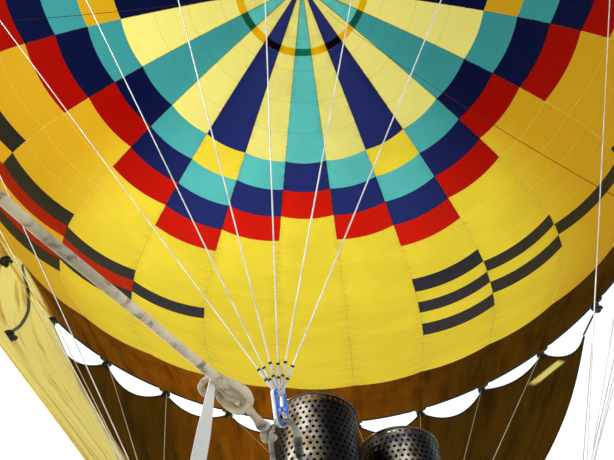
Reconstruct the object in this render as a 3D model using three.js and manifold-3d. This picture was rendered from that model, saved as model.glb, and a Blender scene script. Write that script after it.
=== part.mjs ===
// Hot air balloon of 24 gores with its parachute valve, skirt, scoop, rigging, twin burner and wicker basket.
// Millimetres, +Z up. The origin is on the balloon's axis, at the underside of the basket.
// Azimuths are in degrees, measured from +Y towards +X.
import * as THREE from 'three';
import { mergeVertices } from 'three/addons/utils/BufferGeometryUtils.js';
import Module from 'manifold-3d';

const wasm = await Module();
wasm.setup();

// Running gap between touching pieces.
const GAP = 0.3;

// Envelope: gore length from crown to mouth, its slope below the horizontal at nine equal steps, in degrees.
const GORES = 24;
const GORE_LENGTH = 29000;
const GORE_SLOPES = [0, 6.5, 31, 66, 99, 119, 124, 132, 129];
const MOUTH_HEIGHT = 4100;
const FABRIC = 10;
const BILLOW = 120;

// Places along a gore, as fractions of its length from the crown.
const TOP_EDGE = 0.0885;
const VALVE_EDGE = 0.099;
const SKIRT_TOP = 0.9366;
const SKIRT_SCALLOP = 0.0035;
const GORE_STATIONS = [TOP_EDGE, VALVE_EDGE, 0.15, 0.23, 0.29, 0.35, 0.41, 0.46, 0.51, 0.56, 0.61, 0.66, 0.72,
  0.79, 0.865, SKIRT_TOP];
const VALVE_STATIONS = [0, 0.035, 0.065, TOP_EDGE, VALVE_EDGE];

// Crown ring and the load tapes that cross the valve's opening.
const CROWN_RING_RADIUS = 170;
const CROWN_RING_WIDTH = 40;
const TAPE_WIDTH = 50;
const TAPE_THICKNESS = 6;
const TAPE_END_GAP = 2.2;

// Scoop: a sheet hung from the mouth loops on one side, drawn in to the burner frame below.
const SCOOP_FIRST_SEAM = -6.5;
const SCOOP_LAST_SEAM = 4.5;
const SCOOP_FOOT_HEIGHT = 2120;
const SCOOP_FOOT_OUT = { left: 100, far: 135 };
const SCOOP_FOOT_START = 0.04;
const SCOOP_SAGS = [30, 30, 155, 130, 100, 110, 110, 120, 130, 70, 90];
const SCOOP_BULGE = { all: 50, first: 350, middle: 160, last: 40 };
const SCOOP_CREASE_SEAM = -4.5;
const SCOOP_STRAP = { x: -98, y: 193, z: -114 };
const SCOOP_ROWS = 8;

// Rig: burner frame, basket and everything square with them, turned about the vertical and off the axis.
const RIG_TURN = 32;
const RIG_SHIFT = { x: 31, y: -50 };
const FRAME_HALF = { x: 441, y: 293 };
const FRAME_HEIGHT = 1985;
const FRAME_TUBE = 17;
const FRAME_CORNER_RADIUS = 60;
const SOCKET = { radius: 30, below: 58, above: 22 };
const LUG = { height: 2026, width: 44, thickness: 12, hole: 10 };

// Corner hardware, measured up the line of pull from the centre of the lug's hole.
const CARABINER = { wire: 6, halfWidth: 31, length: 118, seat: 2.8 };
const PLATE = { thickness: 8, bottom: 21, top: 66, halfBottom: 20, halfTop: 22, hole: 14, seat: 2, turn: -45 };
const PLATE_SLOT = { low: 27, high: 50, radius: 8.5 };
const WIRE = { radius: 2.5, barRadius: 5, first: 7.5, spacing: 5.6 };

// Burner: gimbal, block with valves, two perforated cans with coils.
const PIVOT_HEIGHT = 1990;
const GIMBAL = { x: 330, y: 225, tube: 11, corner: 40, pin: 8 };
const BOSS = 24;
const CAN_SPACING = 354;
const CAN = { radius: 139, wall: 3, bottom: 2190, top: 2462, rim: 5 };
const COIL = { inner: 92, outer: 116, bottom: 2240, top: 2400, leg: 7 };
const BLOCK = { halfLength: 285, halfWidth: 75, bottom: 2060, top: 2078, cheek: 12 };

// Basket: floor, woven wall, padded rim, four padded uprights and four fuel cylinders.
const BASKET = { x: 820, y: 600, corner: 130, wall: 30, floor: 28, runner: 50, height: 1105 };
const RUNNER = { width: 70, inset: 160 };
const RIM = { halfWidth: 42, height: 74 };
const FOOT_HOLE = { width: 190, height: 140, low: 330, spacing: 800 };
const UPRIGHT = { footY: 430, footRadius: 34, topRadius: 27 };
const CYLINDER = { radius: 152, height: 800, x: 620, y: 400 };

// Crown line: from the near corner, slack to the widest gore, then over the top along a load tape.
const CROWN_LINE = { radius: 8.5, seam: -9.5, lift: 20, leave: 0.46, knot: 26 };
const CROWN_SLACK = { heading: 210, run: 4600, dip: 690, rise: 6500 };
const CROWN_KNOT = { x: -288, y: -775, z: 2083 };

// Colours.
const YELLOW = 0xe8d42a;
const TEAL = 0x43bdb6;
const NAVY = 0x1d2a68;
const NOMEX = 0x6b4510;
const STEEL = 0xb9bcc0;
const DARK_STEEL = 0x3c3c3e;
const PLATE_BLUE = 0x1e6ad8;
const WICKER = 0xa9743c;
const SUEDE = 0x8a5a35;
const CREAM = 0xd8c8a4;

const rad = THREE.MathUtils.degToRad;
const { clamp } = THREE.MathUtils;
const V = (x, y, z) => new THREE.Vector3(x, y, z);

// A solid from a list of triangles: equal corners are shared, and faces point outwards.
function solid(triangles) {
  const ids = new Map();
  const positions = [];
  const index = [];
  const idOf = (p) => {
    const key = [p.x, p.y, p.z].map((c) => Math.round(c * 1000)).join(',');
    if (!ids.has(key)) {
      ids.set(key, ids.size);
      positions.push(p.x, p.y, p.z);
    }
    return ids.get(key);
  };
  let volume = 0;
  for (const [a, b, c] of triangles) {
    const corner = [idOf(a), idOf(b), idOf(c)];
    if (new Set(corner).size < 3) continue;
    index.push(...corner);
    volume += a.dot(b.clone().cross(c));
  }
  if (volume < 0) {
    for (let i = 0; i < index.length; i += 3) [index[i], index[i + 1]] = [index[i + 1], index[i]];
  }
  const geometry = new THREE.BufferGeometry();
  geometry.setAttribute('position', new THREE.Float32BufferAttribute(positions, 3));
  geometry.setIndex(index);
  return geometry;
}

const quad = (a, b, c, d) => [[a, b, c], [a, c, d]];

// A shell between two grids of points, rows by columns. A ring of columns closes on itself.
function shell(outer, inner, ring) {
  const triangles = [];
  const rows = outer.length - 1;
  const columns = ring ? outer[0].length : outer[0].length - 1;
  const wrap = (j) => j % outer[0].length;
  for (let i = 0; i < rows; i++) {
    for (let j = 0; j < columns; j++) {
      const k = wrap(j + 1);
      triangles.push(...quad(outer[i][j], outer[i][k], outer[i + 1][k], outer[i + 1][j]));
      triangles.push(...quad(inner[i][j], inner[i + 1][j], inner[i + 1][k], inner[i][k]));
    }
  }
  for (let j = 0; j < columns; j++) {
    const k = wrap(j + 1);
    triangles.push(...quad(outer[0][k], outer[0][j], inner[0][j], inner[0][k]));
    triangles.push(...quad(outer[rows][j], outer[rows][k], inner[rows][k], inner[rows][j]));
  }
  if (!ring) {
    for (let i = 0; i < rows; i++) {
      triangles.push(...quad(outer[i][0], outer[i + 1][0], inner[i + 1][0], inner[i][0]));
      triangles.push(...quad(outer[i + 1][columns], outer[i][columns], inner[i][columns], inner[i + 1][columns]));
    }
  }
  return solid(triangles);
}

// A loft through rings of points. A closed loft joins its last ring to its first, an open one has flat ends.
function loft(rings, closed = false) {
  const triangles = [];
  const n = rings[0].length;
  const spans = closed ? rings.length : rings.length - 1;
  for (let i = 0; i < spans; i++) {
    const a = rings[i];
    const b = rings[(i + 1) % rings.length];
    for (let j = 0; j < n; j++) {
      const k = (j + 1) % n;
      triangles.push(...quad(a[j], a[k], b[k], b[j]));
    }
  }
  if (!closed) {
    for (let j = 1; j < n - 1; j++) {
      triangles.push([rings[0][0], rings[0][j + 1], rings[0][j]]);
      triangles.push([rings.at(-1)[0], rings.at(-1)[j], rings.at(-1)[j + 1]]);
    }
  }
  return solid(triangles);
}

// A tube through points, each ring square with the path there.
function tube(points, radius, sides, closed = false) {
  const count = points.length;
  const rings = points.map((p, i) => {
    const before = points[closed ? (i + count - 1) % count : Math.max(i - 1, 0)];
    const after = points[closed ? (i + 1) % count : Math.min(i + 1, count - 1)];
    const along = after.clone().sub(before).normalize();
    const side = Math.abs(along.z) > 0.98 ? V(1, 0, 0) : V(0, 0, 1);
    const u = side.cross(along).normalize();
    const v = along.clone().cross(u);
    return Array.from({ length: sides }, (_, j) => {
      const a = (2 * Math.PI * j) / sides;
      return p.clone().addScaledVector(u, radius * Math.cos(a)).addScaledVector(v, radius * Math.sin(a));
    });
  });
  return loft(rings, closed);
}

const rod = (from, to, radius, sides) => tube([from, to], radius, sides);

function box(x, y, z, lengthX, lengthY, lengthZ) {
  return new THREE.BoxGeometry(lengthX, lengthY, lengthZ).translate(x, y, z);
}

function upright(radius, low, high, x, y, sides) {
  return rod(V(x, y, low), V(x, y, high), radius, sides);
}

function toManifold(geometry) {
  const bare = geometry.clone();
  bare.deleteAttribute('normal');
  bare.deleteAttribute('uv');
  const merged = mergeVertices(bare, 1e-3);
  const vertProperties = new Float32Array(merged.attributes.position.array);
  const triVerts = new Uint32Array(merged.index.array);
  return new wasm.Manifold(new wasm.Mesh({ numProp: 3, vertProperties, triVerts }));
}

// The first shape joined with the others, with the cutters taken away.
function join(shapes, cutters = []) {
  let body = toManifold(shapes[0]);
  for (const shape of shapes.slice(1)) body = body.add(toManifold(shape));
  for (const cutter of cutters) body = body.subtract(toManifold(cutter));
  const mesh = body.getMesh();
  const geometry = new THREE.BufferGeometry();
  geometry.setAttribute('position', new THREE.BufferAttribute(new Float32Array(mesh.vertProperties), 3));
  geometry.setIndex(Array.from(mesh.triVerts));
  return geometry;
}

const balloon = new THREE.Group();
const rig = new THREE.Group();
rig.rotation.z = rad(RIG_TURN);
rig.position.set(RIG_SHIFT.x, RIG_SHIFT.y, 0);
rig.updateMatrix();
balloon.add(rig);

function add(name, geometry, color, roughness = 0.8, metalness = 0, group = balloon) {
  const mesh = new THREE.Mesh(geometry, new THREE.MeshStandardMaterial({ color, roughness, metalness }));
  mesh.name = name;
  group.add(mesh);
}

// The gore profile: radius, height and slope at a fraction of the gore's length, by adding up short steps.
const PROFILE_STEPS = 800;
const slopeAt = (s) => {
  const t = s * (GORE_SLOPES.length - 1);
  const i = Math.min(Math.floor(t), GORE_SLOPES.length - 2);
  return rad(GORE_SLOPES[i] + (t - i) * (GORE_SLOPES[i + 1] - GORE_SLOPES[i]));
};
const profileTable = [{ r: 0, drop: 0 }];
for (let i = 0; i < PROFILE_STEPS; i++) {
  const slope = slopeAt((i + 0.5) / PROFILE_STEPS);
  const step = GORE_LENGTH / PROFILE_STEPS;
  const last = profileTable.at(-1);
  profileTable.push({ r: last.r + step * Math.cos(slope), drop: last.drop + step * Math.sin(slope) });
}
const CROWN_HEIGHT = MOUTH_HEIGHT + profileTable.at(-1).drop;

function profile(s) {
  const t = s * PROFILE_STEPS;
  const i = Math.min(Math.floor(t), PROFILE_STEPS - 1);
  const a = profileTable[i];
  const b = profileTable[i + 1];
  const f = t - i;
  return { r: a.r + f * (b.r - a.r), z: CROWN_HEIGHT - a.drop - f * (b.drop - a.drop), slope: slopeAt(s) };
}

// How far a gore's middle stands out of the circle through its seams.
const billow = (s) => BILLOW * Math.sin(Math.PI * clamp((s - VALVE_EDGE) / (1 - VALVE_EDGE), 0, 1));

// A point of the envelope: fraction s, azimuth, place u from -1 to 1 across the gore, depth below the surface.
function envelopePoint(s, azimuth, u, depth) {
  const { r, z, slope } = profile(s);
  const out = r + billow(s) * (1 - u * u) - depth * Math.sin(slope);
  const a = rad(azimuth);
  return V(out * Math.sin(a), out * Math.cos(a), z - depth * Math.cos(slope));
}

const GORE_ANGLE = 360 / GORES;

// Gores, from the valve's opening to the skirt.
for (let g = 0; g < GORES; g++) {
  const last = GORE_STATIONS.length - 1;
  const grid = (depth) => GORE_STATIONS.map((station, i) => {
    const s = i === last ? station - GAP / 2 / GORE_LENGTH : station;
    return [-1, 0, 1].map((u) => {
      const a = (g + u / 2) * GORE_ANGLE;
      const side = V(Math.cos(rad(a)), -Math.sin(rad(a)), 0).multiplyScalar((-u * GAP) / 2);
      return envelopePoint(s, a, u, depth).add(side);
    });
  });
  const tint = [TEAL, YELLOW, NAVY, YELLOW][g % 4];
  add(`gore_${String(g + 1).padStart(2, '0')}`, shell(grid(0), grid(FABRIC), false), tint);
}

// Parachute valve: a shallow dome that closes the opening from inside and slides down to let air out.
{
  const grid = (depth) => VALVE_STATIONS.map((s) => Array.from({ length: 2 * GORES }, (_, j) => {
    return envelopePoint(s, (j / 2) * GORE_ANGLE, j % 2, depth);
  }));
  add('parachute_valve', shell(grid(FABRIC + GAP), grid(2 * FABRIC + GAP), true), TEAL);
}

// Crown ring with the load tapes that cross the opening to it.
{
  const inner = CROWN_RING_RADIUS / GORE_LENGTH;
  const stations = [inner, 0.035, 0.065, TOP_EDGE - TAPE_END_GAP / GORE_LENGTH];
  const tapes = Array.from({ length: GORES }, (_, k) => {
    const a = (k + 0.5) * GORE_ANGLE;
    const side = V(Math.cos(rad(a)), -Math.sin(rad(a)), 0).multiplyScalar(TAPE_WIDTH / 2);
    const low = FABRIC - GAP;
    const rings = stations.map((s) => [[-1, low], [1, low], [1, low - TAPE_THICKNESS], [-1, low - TAPE_THICKNESS]]
      .map(([w, depth]) => envelopePoint(s, a, 1, depth).addScaledVector(side, w)));
    return loft(rings);
  });
  const ringLow = CROWN_HEIGHT - FABRIC + 1;
  const outer = CROWN_RING_RADIUS + CROWN_RING_WIDTH;
  const ring = new THREE.LatheGeometry([
    new THREE.Vector2(CROWN_RING_RADIUS, ringLow), new THREE.Vector2(outer, ringLow),
    new THREE.Vector2(outer, ringLow + 20), new THREE.Vector2(CROWN_RING_RADIUS, ringLow + 20),
    new THREE.Vector2(CROWN_RING_RADIUS, ringLow)], GORES).rotateX(Math.PI / 2);
  add('crown_ring', join([ring, ...tapes]), STEEL, 0.4, 0.8);
}

// Skirt: the flame-proof band below the gores, scalloped between the mouth loops.
{
  const across = [-1, -0.5, 0, 0.5];
  const rows = [0, 0.5, 1];
  const grid = (depth) => {
    const points = rows.map((row) => Array.from({ length: GORES * across.length }, (_, j) => {
      const u = across[j % across.length];
      const a = (Math.floor(j / across.length) + u / 2) * GORE_ANGLE;
      const top = SKIRT_TOP + GAP / 2 / GORE_LENGTH;
      const bottom = 1 - SKIRT_SCALLOP * (1 - u * u);
      return envelopePoint(top + row * (bottom - top), a, u, depth);
    }));
    // The top row is as straight between its even points as the gores above it.
    const top = points[0];
    for (let j = 1; j < top.length; j += 2) top[j].lerpVectors(top[j - 1], top[(j + 1) % top.length], 0.5);
    return points;
  };
  add('skirt', shell(grid(0), grid(FABRIC), true), NOMEX);
}

// Corners of the rig: lugs on the burner frame and the mouth loops that each one carries.
const CORNERS = [
  { name: 'far', x: 1, y: 1, first: -1.5 },
  { name: 'right', x: 1, y: -1, first: 4.5 },
  { name: 'near', x: -1, y: -1, first: 10.5 },
  { name: 'left', x: -1, y: 1, first: -7.5 },
];
const WIRES_PER_CORNER = 6;

function mouthLoop(seam) {
  return envelopePoint(1, seam * GORE_ANGLE, 1, 0);
}

for (const corner of CORNERS) {
  corner.loops = Array.from({ length: WIRES_PER_CORNER }, (_, i) => mouthLoop(corner.first + i));
  corner.lug = V(corner.x * FRAME_HALF.x, corner.y * FRAME_HALF.y, LUG.height).applyMatrix4(rig.matrix);
  const middle = V(0, 0, 0);
  for (const loop of corner.loops) middle.addScaledVector(loop, 1 / WIRES_PER_CORNER);
  corner.pull = middle.sub(corner.lug).normalize();
  const placer = (across) => {
    const depth = corner.pull.clone().cross(across);
    return (x, y, z) => corner.lug.clone().addScaledVector(corner.pull, x).addScaledVector(across, y)
      .addScaledVector(depth, z);
  };
  corner.across = V(0, 0, 1).cross(corner.pull).normalize();
  corner.plateNormal = corner.across.clone().applyAxisAngle(corner.pull, rad(PLATE.turn));
  corner.at = placer(corner.across);
  corner.plateAt = placer(corner.plateNormal);
}

// Plate, carabiner and six flying wires of each corner.
const PLATE_HOLE = CARABINER.seat + CARABINER.length + PLATE.seat;
for (const corner of CORNERS) {
  const { at, plateAt } = corner;
  const slab = (outline, half) => loft([-half, half].map((a) => outline.map(([x, z]) => plateAt(x, a, z))));
  const bore = (along, radius, half) => rod(plateAt(along, -half, 0), plateAt(along, half, 0), radius, 24);
  const bottom = PLATE_HOLE - PLATE.bottom;
  const top = PLATE_HOLE + PLATE.top;
  const outline = [
    [bottom, -PLATE.halfBottom + 6], [bottom, PLATE.halfBottom - 6], [bottom + 8, PLATE.halfBottom],
    [top - 12, PLATE.halfTop], [top, PLATE.halfTop - 9], [top, 9 - PLATE.halfTop], [top - 12, -PLATE.halfTop],
    [bottom + 8, -PLATE.halfBottom],
  ];
  const slotLow = PLATE_HOLE + PLATE_SLOT.low;
  const slotHigh = PLATE_HOLE + PLATE_SLOT.high;
  const slot = [
    [slotLow, -PLATE_SLOT.radius / 2], [slotLow, PLATE_SLOT.radius / 2],
    [slotHigh, PLATE_SLOT.radius], [slotHigh, -PLATE_SLOT.radius],
  ];
  add(`corner_plate_${corner.name}`, join([slab(outline, PLATE.thickness / 2)], [
    bore(PLATE_HOLE, PLATE.hole, PLATE.thickness), slab(slot, PLATE.thickness),
    bore(slotHigh, PLATE_SLOT.radius, PLATE.thickness)]), PLATE_BLUE, 0.4, 0.6);

  const straight = CARABINER.length / 2 - CARABINER.halfWidth;
  const centre = CARABINER.seat + CARABINER.length / 2;
  const path = Array.from({ length: 20 }, (_, i) => {
    const a = (2 * Math.PI * (i + 0.5)) / 20;
    const along = CARABINER.halfWidth * Math.sin(a) + Math.sign(Math.sin(a)) * straight;
    return at(centre + along, CARABINER.halfWidth * Math.cos(a), 0);
  });
  add(`carabiner_${corner.name}`, tube(path, CARABINER.wire, 8, true), STEEL, 0.3, 0.9);

  const barAt = slotHigh + PLATE_SLOT.radius - WIRE.barRadius - 0.8;
  const sorted = [...corner.loops].sort((p, q) => p.dot(corner.plateNormal) - q.dot(corner.plateNormal));
  const wires = sorted.map((loop, i) => {
    const place = i - (WIRES_PER_CORNER - 1) / 2;
    const from = plateAt(barAt, Math.sign(place) * (WIRE.first + (Math.abs(place) - 0.5) * WIRE.spacing), 0);
    const flat = V(loop.x, loop.y, 0).normalize();
    const to = loop.clone().addScaledVector(flat, -5).add(V(0, 0, 2.8));
    return rod(from, to, WIRE.radius, 6);
  });
  const barHalf = WIRE.first + (WIRES_PER_CORNER / 2 - 1) * WIRE.spacing + WIRE.radius + 1;
  const bar = rod(plateAt(barAt, -barHalf, 0), plateAt(barAt, barHalf, 0), WIRE.barRadius, 8);
  add(`flying_wires_${corner.name}`, join([bar, ...wires]), STEEL, 0.4, 0.7);
}

// Scoop: lines from the loops' hem down to the foot, bowed outwards between, with a straight crease at one seam.
// A strap holds its last corner a little below and inside the last loop.
{
  const spans = 3 * (SCOOP_LAST_SEAM - SCOOP_FIRST_SEAM);
  const [far, , , left] = CORNERS;
  const footOf = (corner, away) => {
    const p = corner.at(150, 0, 0).setZ(SCOOP_FOOT_HEIGHT);
    return p.addScaledVector(V(corner.pull.x, corner.pull.y, 0).normalize(), away);
  };
  const footLeft = footOf(left, SCOOP_FOOT_OUT.left);
  const footFar = footOf(far, SCOOP_FOOT_OUT.far);
  const strap = V(SCOOP_STRAP.x, SCOOP_STRAP.y, SCOOP_STRAP.z);
  const span = SCOOP_LAST_SEAM - SCOOP_CREASE_SEAM;
  const { all, first, middle, last } = SCOOP_BULGE;
  const grid = (depth) => Array.from({ length: SCOOP_ROWS + 1 }, (_, i) => Array.from({ length: spans + 1 }, (_, j) => {
    const t = j / spans;
    const v = i / SCOOP_ROWS;
    const seam = SCOOP_FIRST_SEAM + t * (SCOOP_LAST_SEAM - SCOOP_FIRST_SEAM);
    const flat = Math.abs(2 * (seam + 0.5 - Math.round(seam + 0.5)));
    const sag = SCOOP_SAGS[Math.min(Math.floor(j / 3), SCOOP_SAGS.length - 1)];
    const head = mouthLoop(seam);
    const a = rad(seam * GORE_ANGLE);
    const out = V(Math.sin(a), Math.cos(a), 0);
    head.addScaledVector(out, FABRIC).setZ(head.z - 0.5 - sag * (1 - (1 - flat) ** 2));
    head.addScaledVector(strap, clamp(seam - SCOOP_LAST_SEAM + 1, 0, 1));
    const foot = footLeft.clone().lerp(footFar, SCOOP_FOOT_START + t * (1 - SCOOP_FOOT_START));
    const wing = clamp((seam - SCOOP_FIRST_SEAM) / (SCOOP_CREASE_SEAM - SCOOP_FIRST_SEAM), 0, 1);
    const past = clamp((seam - SCOOP_CREASE_SEAM) / 1.5, 0, 1);
    const beyond = clamp((seam - SCOOP_CREASE_SEAM) / span, 0, 1);
    const main = (middle + beyond * (last - middle)) * past * past * (3 - 2 * past);
    const side = first * (1 - v) ** 1.2 * Math.cos((Math.PI / 2) * wing);
    const bulge = (all + main + side) * Math.sin(Math.PI * v);
    return head.lerp(foot, v).addScaledVector(out, bulge - depth);
  }));
  add('scoop', shell(grid(0), grid(FABRIC), false), NOMEX);
}

// Rounded rectangle of points at one height, used by tubes, walls and rims.
function rounded(halfX, halfY, radius, z, steps = 3) {
  const points = [];
  for (const [sx, sy, start] of [[1, 1, 0], [-1, 1, 90], [-1, -1, 180], [1, -1, 270]]) {
    for (let i = 0; i <= steps; i++) {
      const a = rad(start + (90 * i) / steps);
      points.push(V(sx * (halfX - radius) + radius * Math.cos(a), sy * (halfY - radius) + radius * Math.sin(a), z));
    }
  }
  return points;
}

// Burner frame: a rounded tube rectangle with upright sockets, lugs and the gimbal's bearing bosses.
{
  const parts = [tube(rounded(FRAME_HALF.x, FRAME_HALF.y, FRAME_CORNER_RADIUS, FRAME_HEIGHT), FRAME_TUBE, 10, true)];
  for (const side of [-1, 1]) {
    const face = FRAME_HALF.y - BOSS;
    parts.push(box(0, side * (face + BOSS / 2), PIVOT_HEIGHT, 44, BOSS, 40));
  }
  const cutters = [];
  const toRig = rig.matrix.clone().invert();
  for (const corner of CORNERS) {
    const x = corner.x * (FRAME_HALF.x - SOCKET.radius / 2);
    const y = corner.y * (FRAME_HALF.y - SOCKET.radius / 2);
    parts.push(upright(SOCKET.radius, FRAME_HEIGHT - SOCKET.below, FRAME_HEIGHT + SOCKET.above, x, y, 16));
    const local = (along, across, depth) => corner.at(along, across, depth).applyMatrix4(toRig);
    const half = LUG.width / 2;
    const outline = [[-50, -half], [-50, half], [8, half], [half - 4, 12], [half - 4, -12], [8, -half]];
    const plate = loft([-1, 1].map((side) => outline.map(([along, depth]) => {
      return local(along, (side * LUG.thickness) / 2, depth);
    })));
    parts.push(plate);
    cutters.push(rod(local(0, -LUG.thickness, 0), local(0, LUG.thickness, 0), LUG.hole, 16));
  }
  add('burner_frame', join(parts, cutters), STEEL, 0.35, 0.9, rig);
}

// Gimbal: a smaller rectangle on two pins along the frame's short way, with bosses for the block's pins.
{
  const { x, y, tube: thick, corner, pin } = GIMBAL;
  const parts = [tube(rounded(x, y, corner, PIVOT_HEIGHT), thick, 8, true)];
  for (const side of [-1, 1]) {
    parts.push(rod(V(0, side * y, PIVOT_HEIGHT), V(0, side * (FRAME_HALF.y - BOSS - GAP), PIVOT_HEIGHT), pin, 12));
    parts.push(box(side * (x - 4), 0, PIVOT_HEIGHT, 20, 36, 36));
  }
  add('gimbal_frame', join(parts), STEEL, 0.35, 0.9, rig);
}

// Burner block: plate on two cheeks and pins, a base disc under each can, a valve body under each base.
{
  const middle = (BLOCK.top + BLOCK.bottom) / 2;
  const parts = [box(0, 0, middle, 2 * BLOCK.halfLength, 2 * BLOCK.halfWidth, BLOCK.top - BLOCK.bottom)];
  for (const side of [-1, 1]) {
    const x = side * (BLOCK.halfLength - BLOCK.cheek / 2);
    parts.push(box(x, 0, (BLOCK.top + PIVOT_HEIGHT - 20) / 2, BLOCK.cheek, 60, BLOCK.top - PIVOT_HEIGHT + 20));
    const pinEnd = GIMBAL.x - 14 - GAP;
    parts.push(rod(V(x, 0, PIVOT_HEIGHT), V(side * pinEnd, 0, PIVOT_HEIGHT), GIMBAL.pin, 12));
    const can = (side * CAN_SPACING) / 2;
    parts.push(upright(36, BLOCK.bottom + 5, CAN.bottom - 3, can, 0, 16));
    parts.push(upright(CAN.radius + 6, CAN.bottom - 6, CAN.bottom - GAP, can, 0, 24));
    parts.push(upright(24, PIVOT_HEIGHT - 85, BLOCK.bottom + 5, can, 30, 12));
    parts.push(upright(24, PIVOT_HEIGHT - 60, BLOCK.bottom + 5, can, -30, 12));
  }
  add('burner_block', join(parts), DARK_STEEL, 0.5, 0.6, rig);
}

// Cans: thin round walls open at the top and bottom, with a rolled rim.
for (const [i, side] of [-1, 1].entries()) {
  const { radius, wall, bottom, top, rim } = CAN;
  const wallProfile = [[radius - wall, bottom], [radius, bottom], [radius, top - rim], [radius + rim / 2, top - rim / 2],
    [radius, top], [radius - wall, top], [radius - wall, bottom]].map(([r, z]) => new THREE.Vector2(r, z));
  const can = new THREE.LatheGeometry(wallProfile, 28).rotateX(Math.PI / 2).translate((side * CAN_SPACING) / 2, 0, 0);
  add(`burner_can_${i + 1}`, join([can]), DARK_STEEL, 0.35, 0.9, rig);

  const x = (side * CAN_SPACING) / 2;
  const coilProfile = [[COIL.inner, COIL.bottom], [COIL.outer, COIL.bottom], [COIL.outer, COIL.top],
    [COIL.inner, COIL.top], [COIL.inner, COIL.bottom]].map(([r, z]) => new THREE.Vector2(r, z));
  const coil = new THREE.LatheGeometry(coilProfile, 24).rotateX(Math.PI / 2).translate(x, 0, 0);
  const legs = [0, 120, 240].map((angle) => {
    const r = (COIL.inner + COIL.outer) / 2;
    return upright(COIL.leg, CAN.bottom, COIL.bottom + 5, x + r * Math.cos(rad(angle)), r * Math.sin(rad(angle)), 8);
  });
  add(`burner_coil_${i + 1}`, join([coil, ...legs]), STEEL, 0.3, 0.9, rig);
}

// Basket floor on its runners.
{
  const outline = new THREE.Shape(rounded(BASKET.x, BASKET.y, BASKET.corner, 0).map((p) => new THREE.Vector2(p.x, p.y)));
  const board = new THREE.ExtrudeGeometry(outline, { depth: BASKET.floor, bevelEnabled: false });
  board.translate(0, 0, BASKET.runner);
  const runners = [-1, 0, 1].map((side) => box(0, side * (BASKET.y - RUNNER.inset), (BASKET.runner + 5) / 2,
    2 * (BASKET.x - BASKET.corner), RUNNER.width, BASKET.runner + 5));
  add('basket_floor', join([board, ...runners]), WICKER, 0.8, 0, rig);
}

// Woven wall with foot holes in its long sides.
const WALL_BOTTOM = BASKET.runner + BASKET.floor + GAP;
{
  const ring = (inset) => rounded(BASKET.x - inset, BASKET.y - inset, BASKET.corner - inset, 0)
    .map((p) => new THREE.Vector2(p.x, p.y));
  const outline = new THREE.Shape(ring(0));
  outline.holes.push(new THREE.Path(ring(BASKET.wall)));
  const wall = new THREE.ExtrudeGeometry(outline, { depth: BASKET.height - WALL_BOTTOM, bevelEnabled: false });
  wall.translate(0, 0, WALL_BOTTOM);
  const holes = [-1, 1].flatMap((x) => [-1, 1].map((y) => box((x * FOOT_HOLE.spacing) / 2, y * BASKET.y,
    FOOT_HOLE.low + FOOT_HOLE.height / 2, FOOT_HOLE.width, 4 * BASKET.wall, FOOT_HOLE.height)));
  add('basket_wall', join([wall], holes), WICKER, 0.9, 0, rig);
}

// Padded rim, flat where it sits on the wall.
const RIM_BOTTOM = BASKET.height + GAP;
{
  const section = [[-1, 0], [-1, 0.45], [-0.7, 0.88], [-0.35, 1], [0.35, 1], [0.7, 0.88], [1, 0.45], [1, 0]];
  const middle = BASKET.wall / 2;
  const rings = section.map(([w, h]) => {
    const inset = middle + w * RIM.halfWidth;
    return rounded(BASKET.x - inset, BASKET.y - inset, BASKET.corner - inset, RIM_BOTTOM + h * RIM.height);
  });
  const count = rings[0].length;
  add('basket_rim', loft(Array.from({ length: count }, (_, j) => rings.map((ring) => ring[j])), true), SUEDE, 0.9, 0, rig);
}

// Padded uprights from the rim to the frame's sockets, and a fuel cylinder in each corner of the basket.
for (const corner of CORNERS) {
  const socket = SOCKET.radius / 2;
  const foot = V(corner.x * (BASKET.x - BASKET.wall / 2), corner.y * UPRIGHT.footY, RIM_BOTTOM + RIM.height + GAP);
  const head = V(corner.x * (FRAME_HALF.x - socket), corner.y * (FRAME_HALF.y - socket), FRAME_HEIGHT - SOCKET.below - GAP);
  const along = head.clone().sub(foot).normalize();
  const u = V(0, 1, 0).cross(along).normalize();
  const v = along.clone().cross(u);
  const stations = [[0, UPRIGHT.footRadius], [0.12, UPRIGHT.footRadius], [0.9, UPRIGHT.topRadius], [1, UPRIGHT.topRadius]];
  const rings = stations.map(([t, radius]) => {
    const centre = foot.clone().lerp(head, t);
    return Array.from({ length: 12 }, (_, j) => {
      const a = (2 * Math.PI * j) / 12;
      const p = centre.clone().addScaledVector(u, radius * Math.cos(a)).addScaledVector(v, radius * Math.sin(a));
      // Both ends are cut level.
      return p.addScaledVector(along, (centre.z - p.z) / along.z);
    });
  });
  add(`upright_${corner.name}`, loft(rings), SUEDE, 0.9, 0, rig);

  const { radius, height } = CYLINDER;
  const low = WALL_BOTTOM;
  const bodyProfile = [[0, low], [0.8 * radius, low], [radius, low + 40], [radius, low + height - 90],
    [0.75 * radius, low + height - 25], [0.3 * radius, low + height], [0, low + height]]
    .map(([r, z]) => new THREE.Vector2(r, z));
  const cylinder = new THREE.LatheGeometry(bodyProfile, 20).rotateX(Math.PI / 2);
  cylinder.translate(corner.x * CYLINDER.x, corner.y * CYLINDER.y, 0);
  add(`fuel_cylinder_${corner.name}`, join([cylinder]), STEEL, 0.4, 0.7, rig);
}

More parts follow.
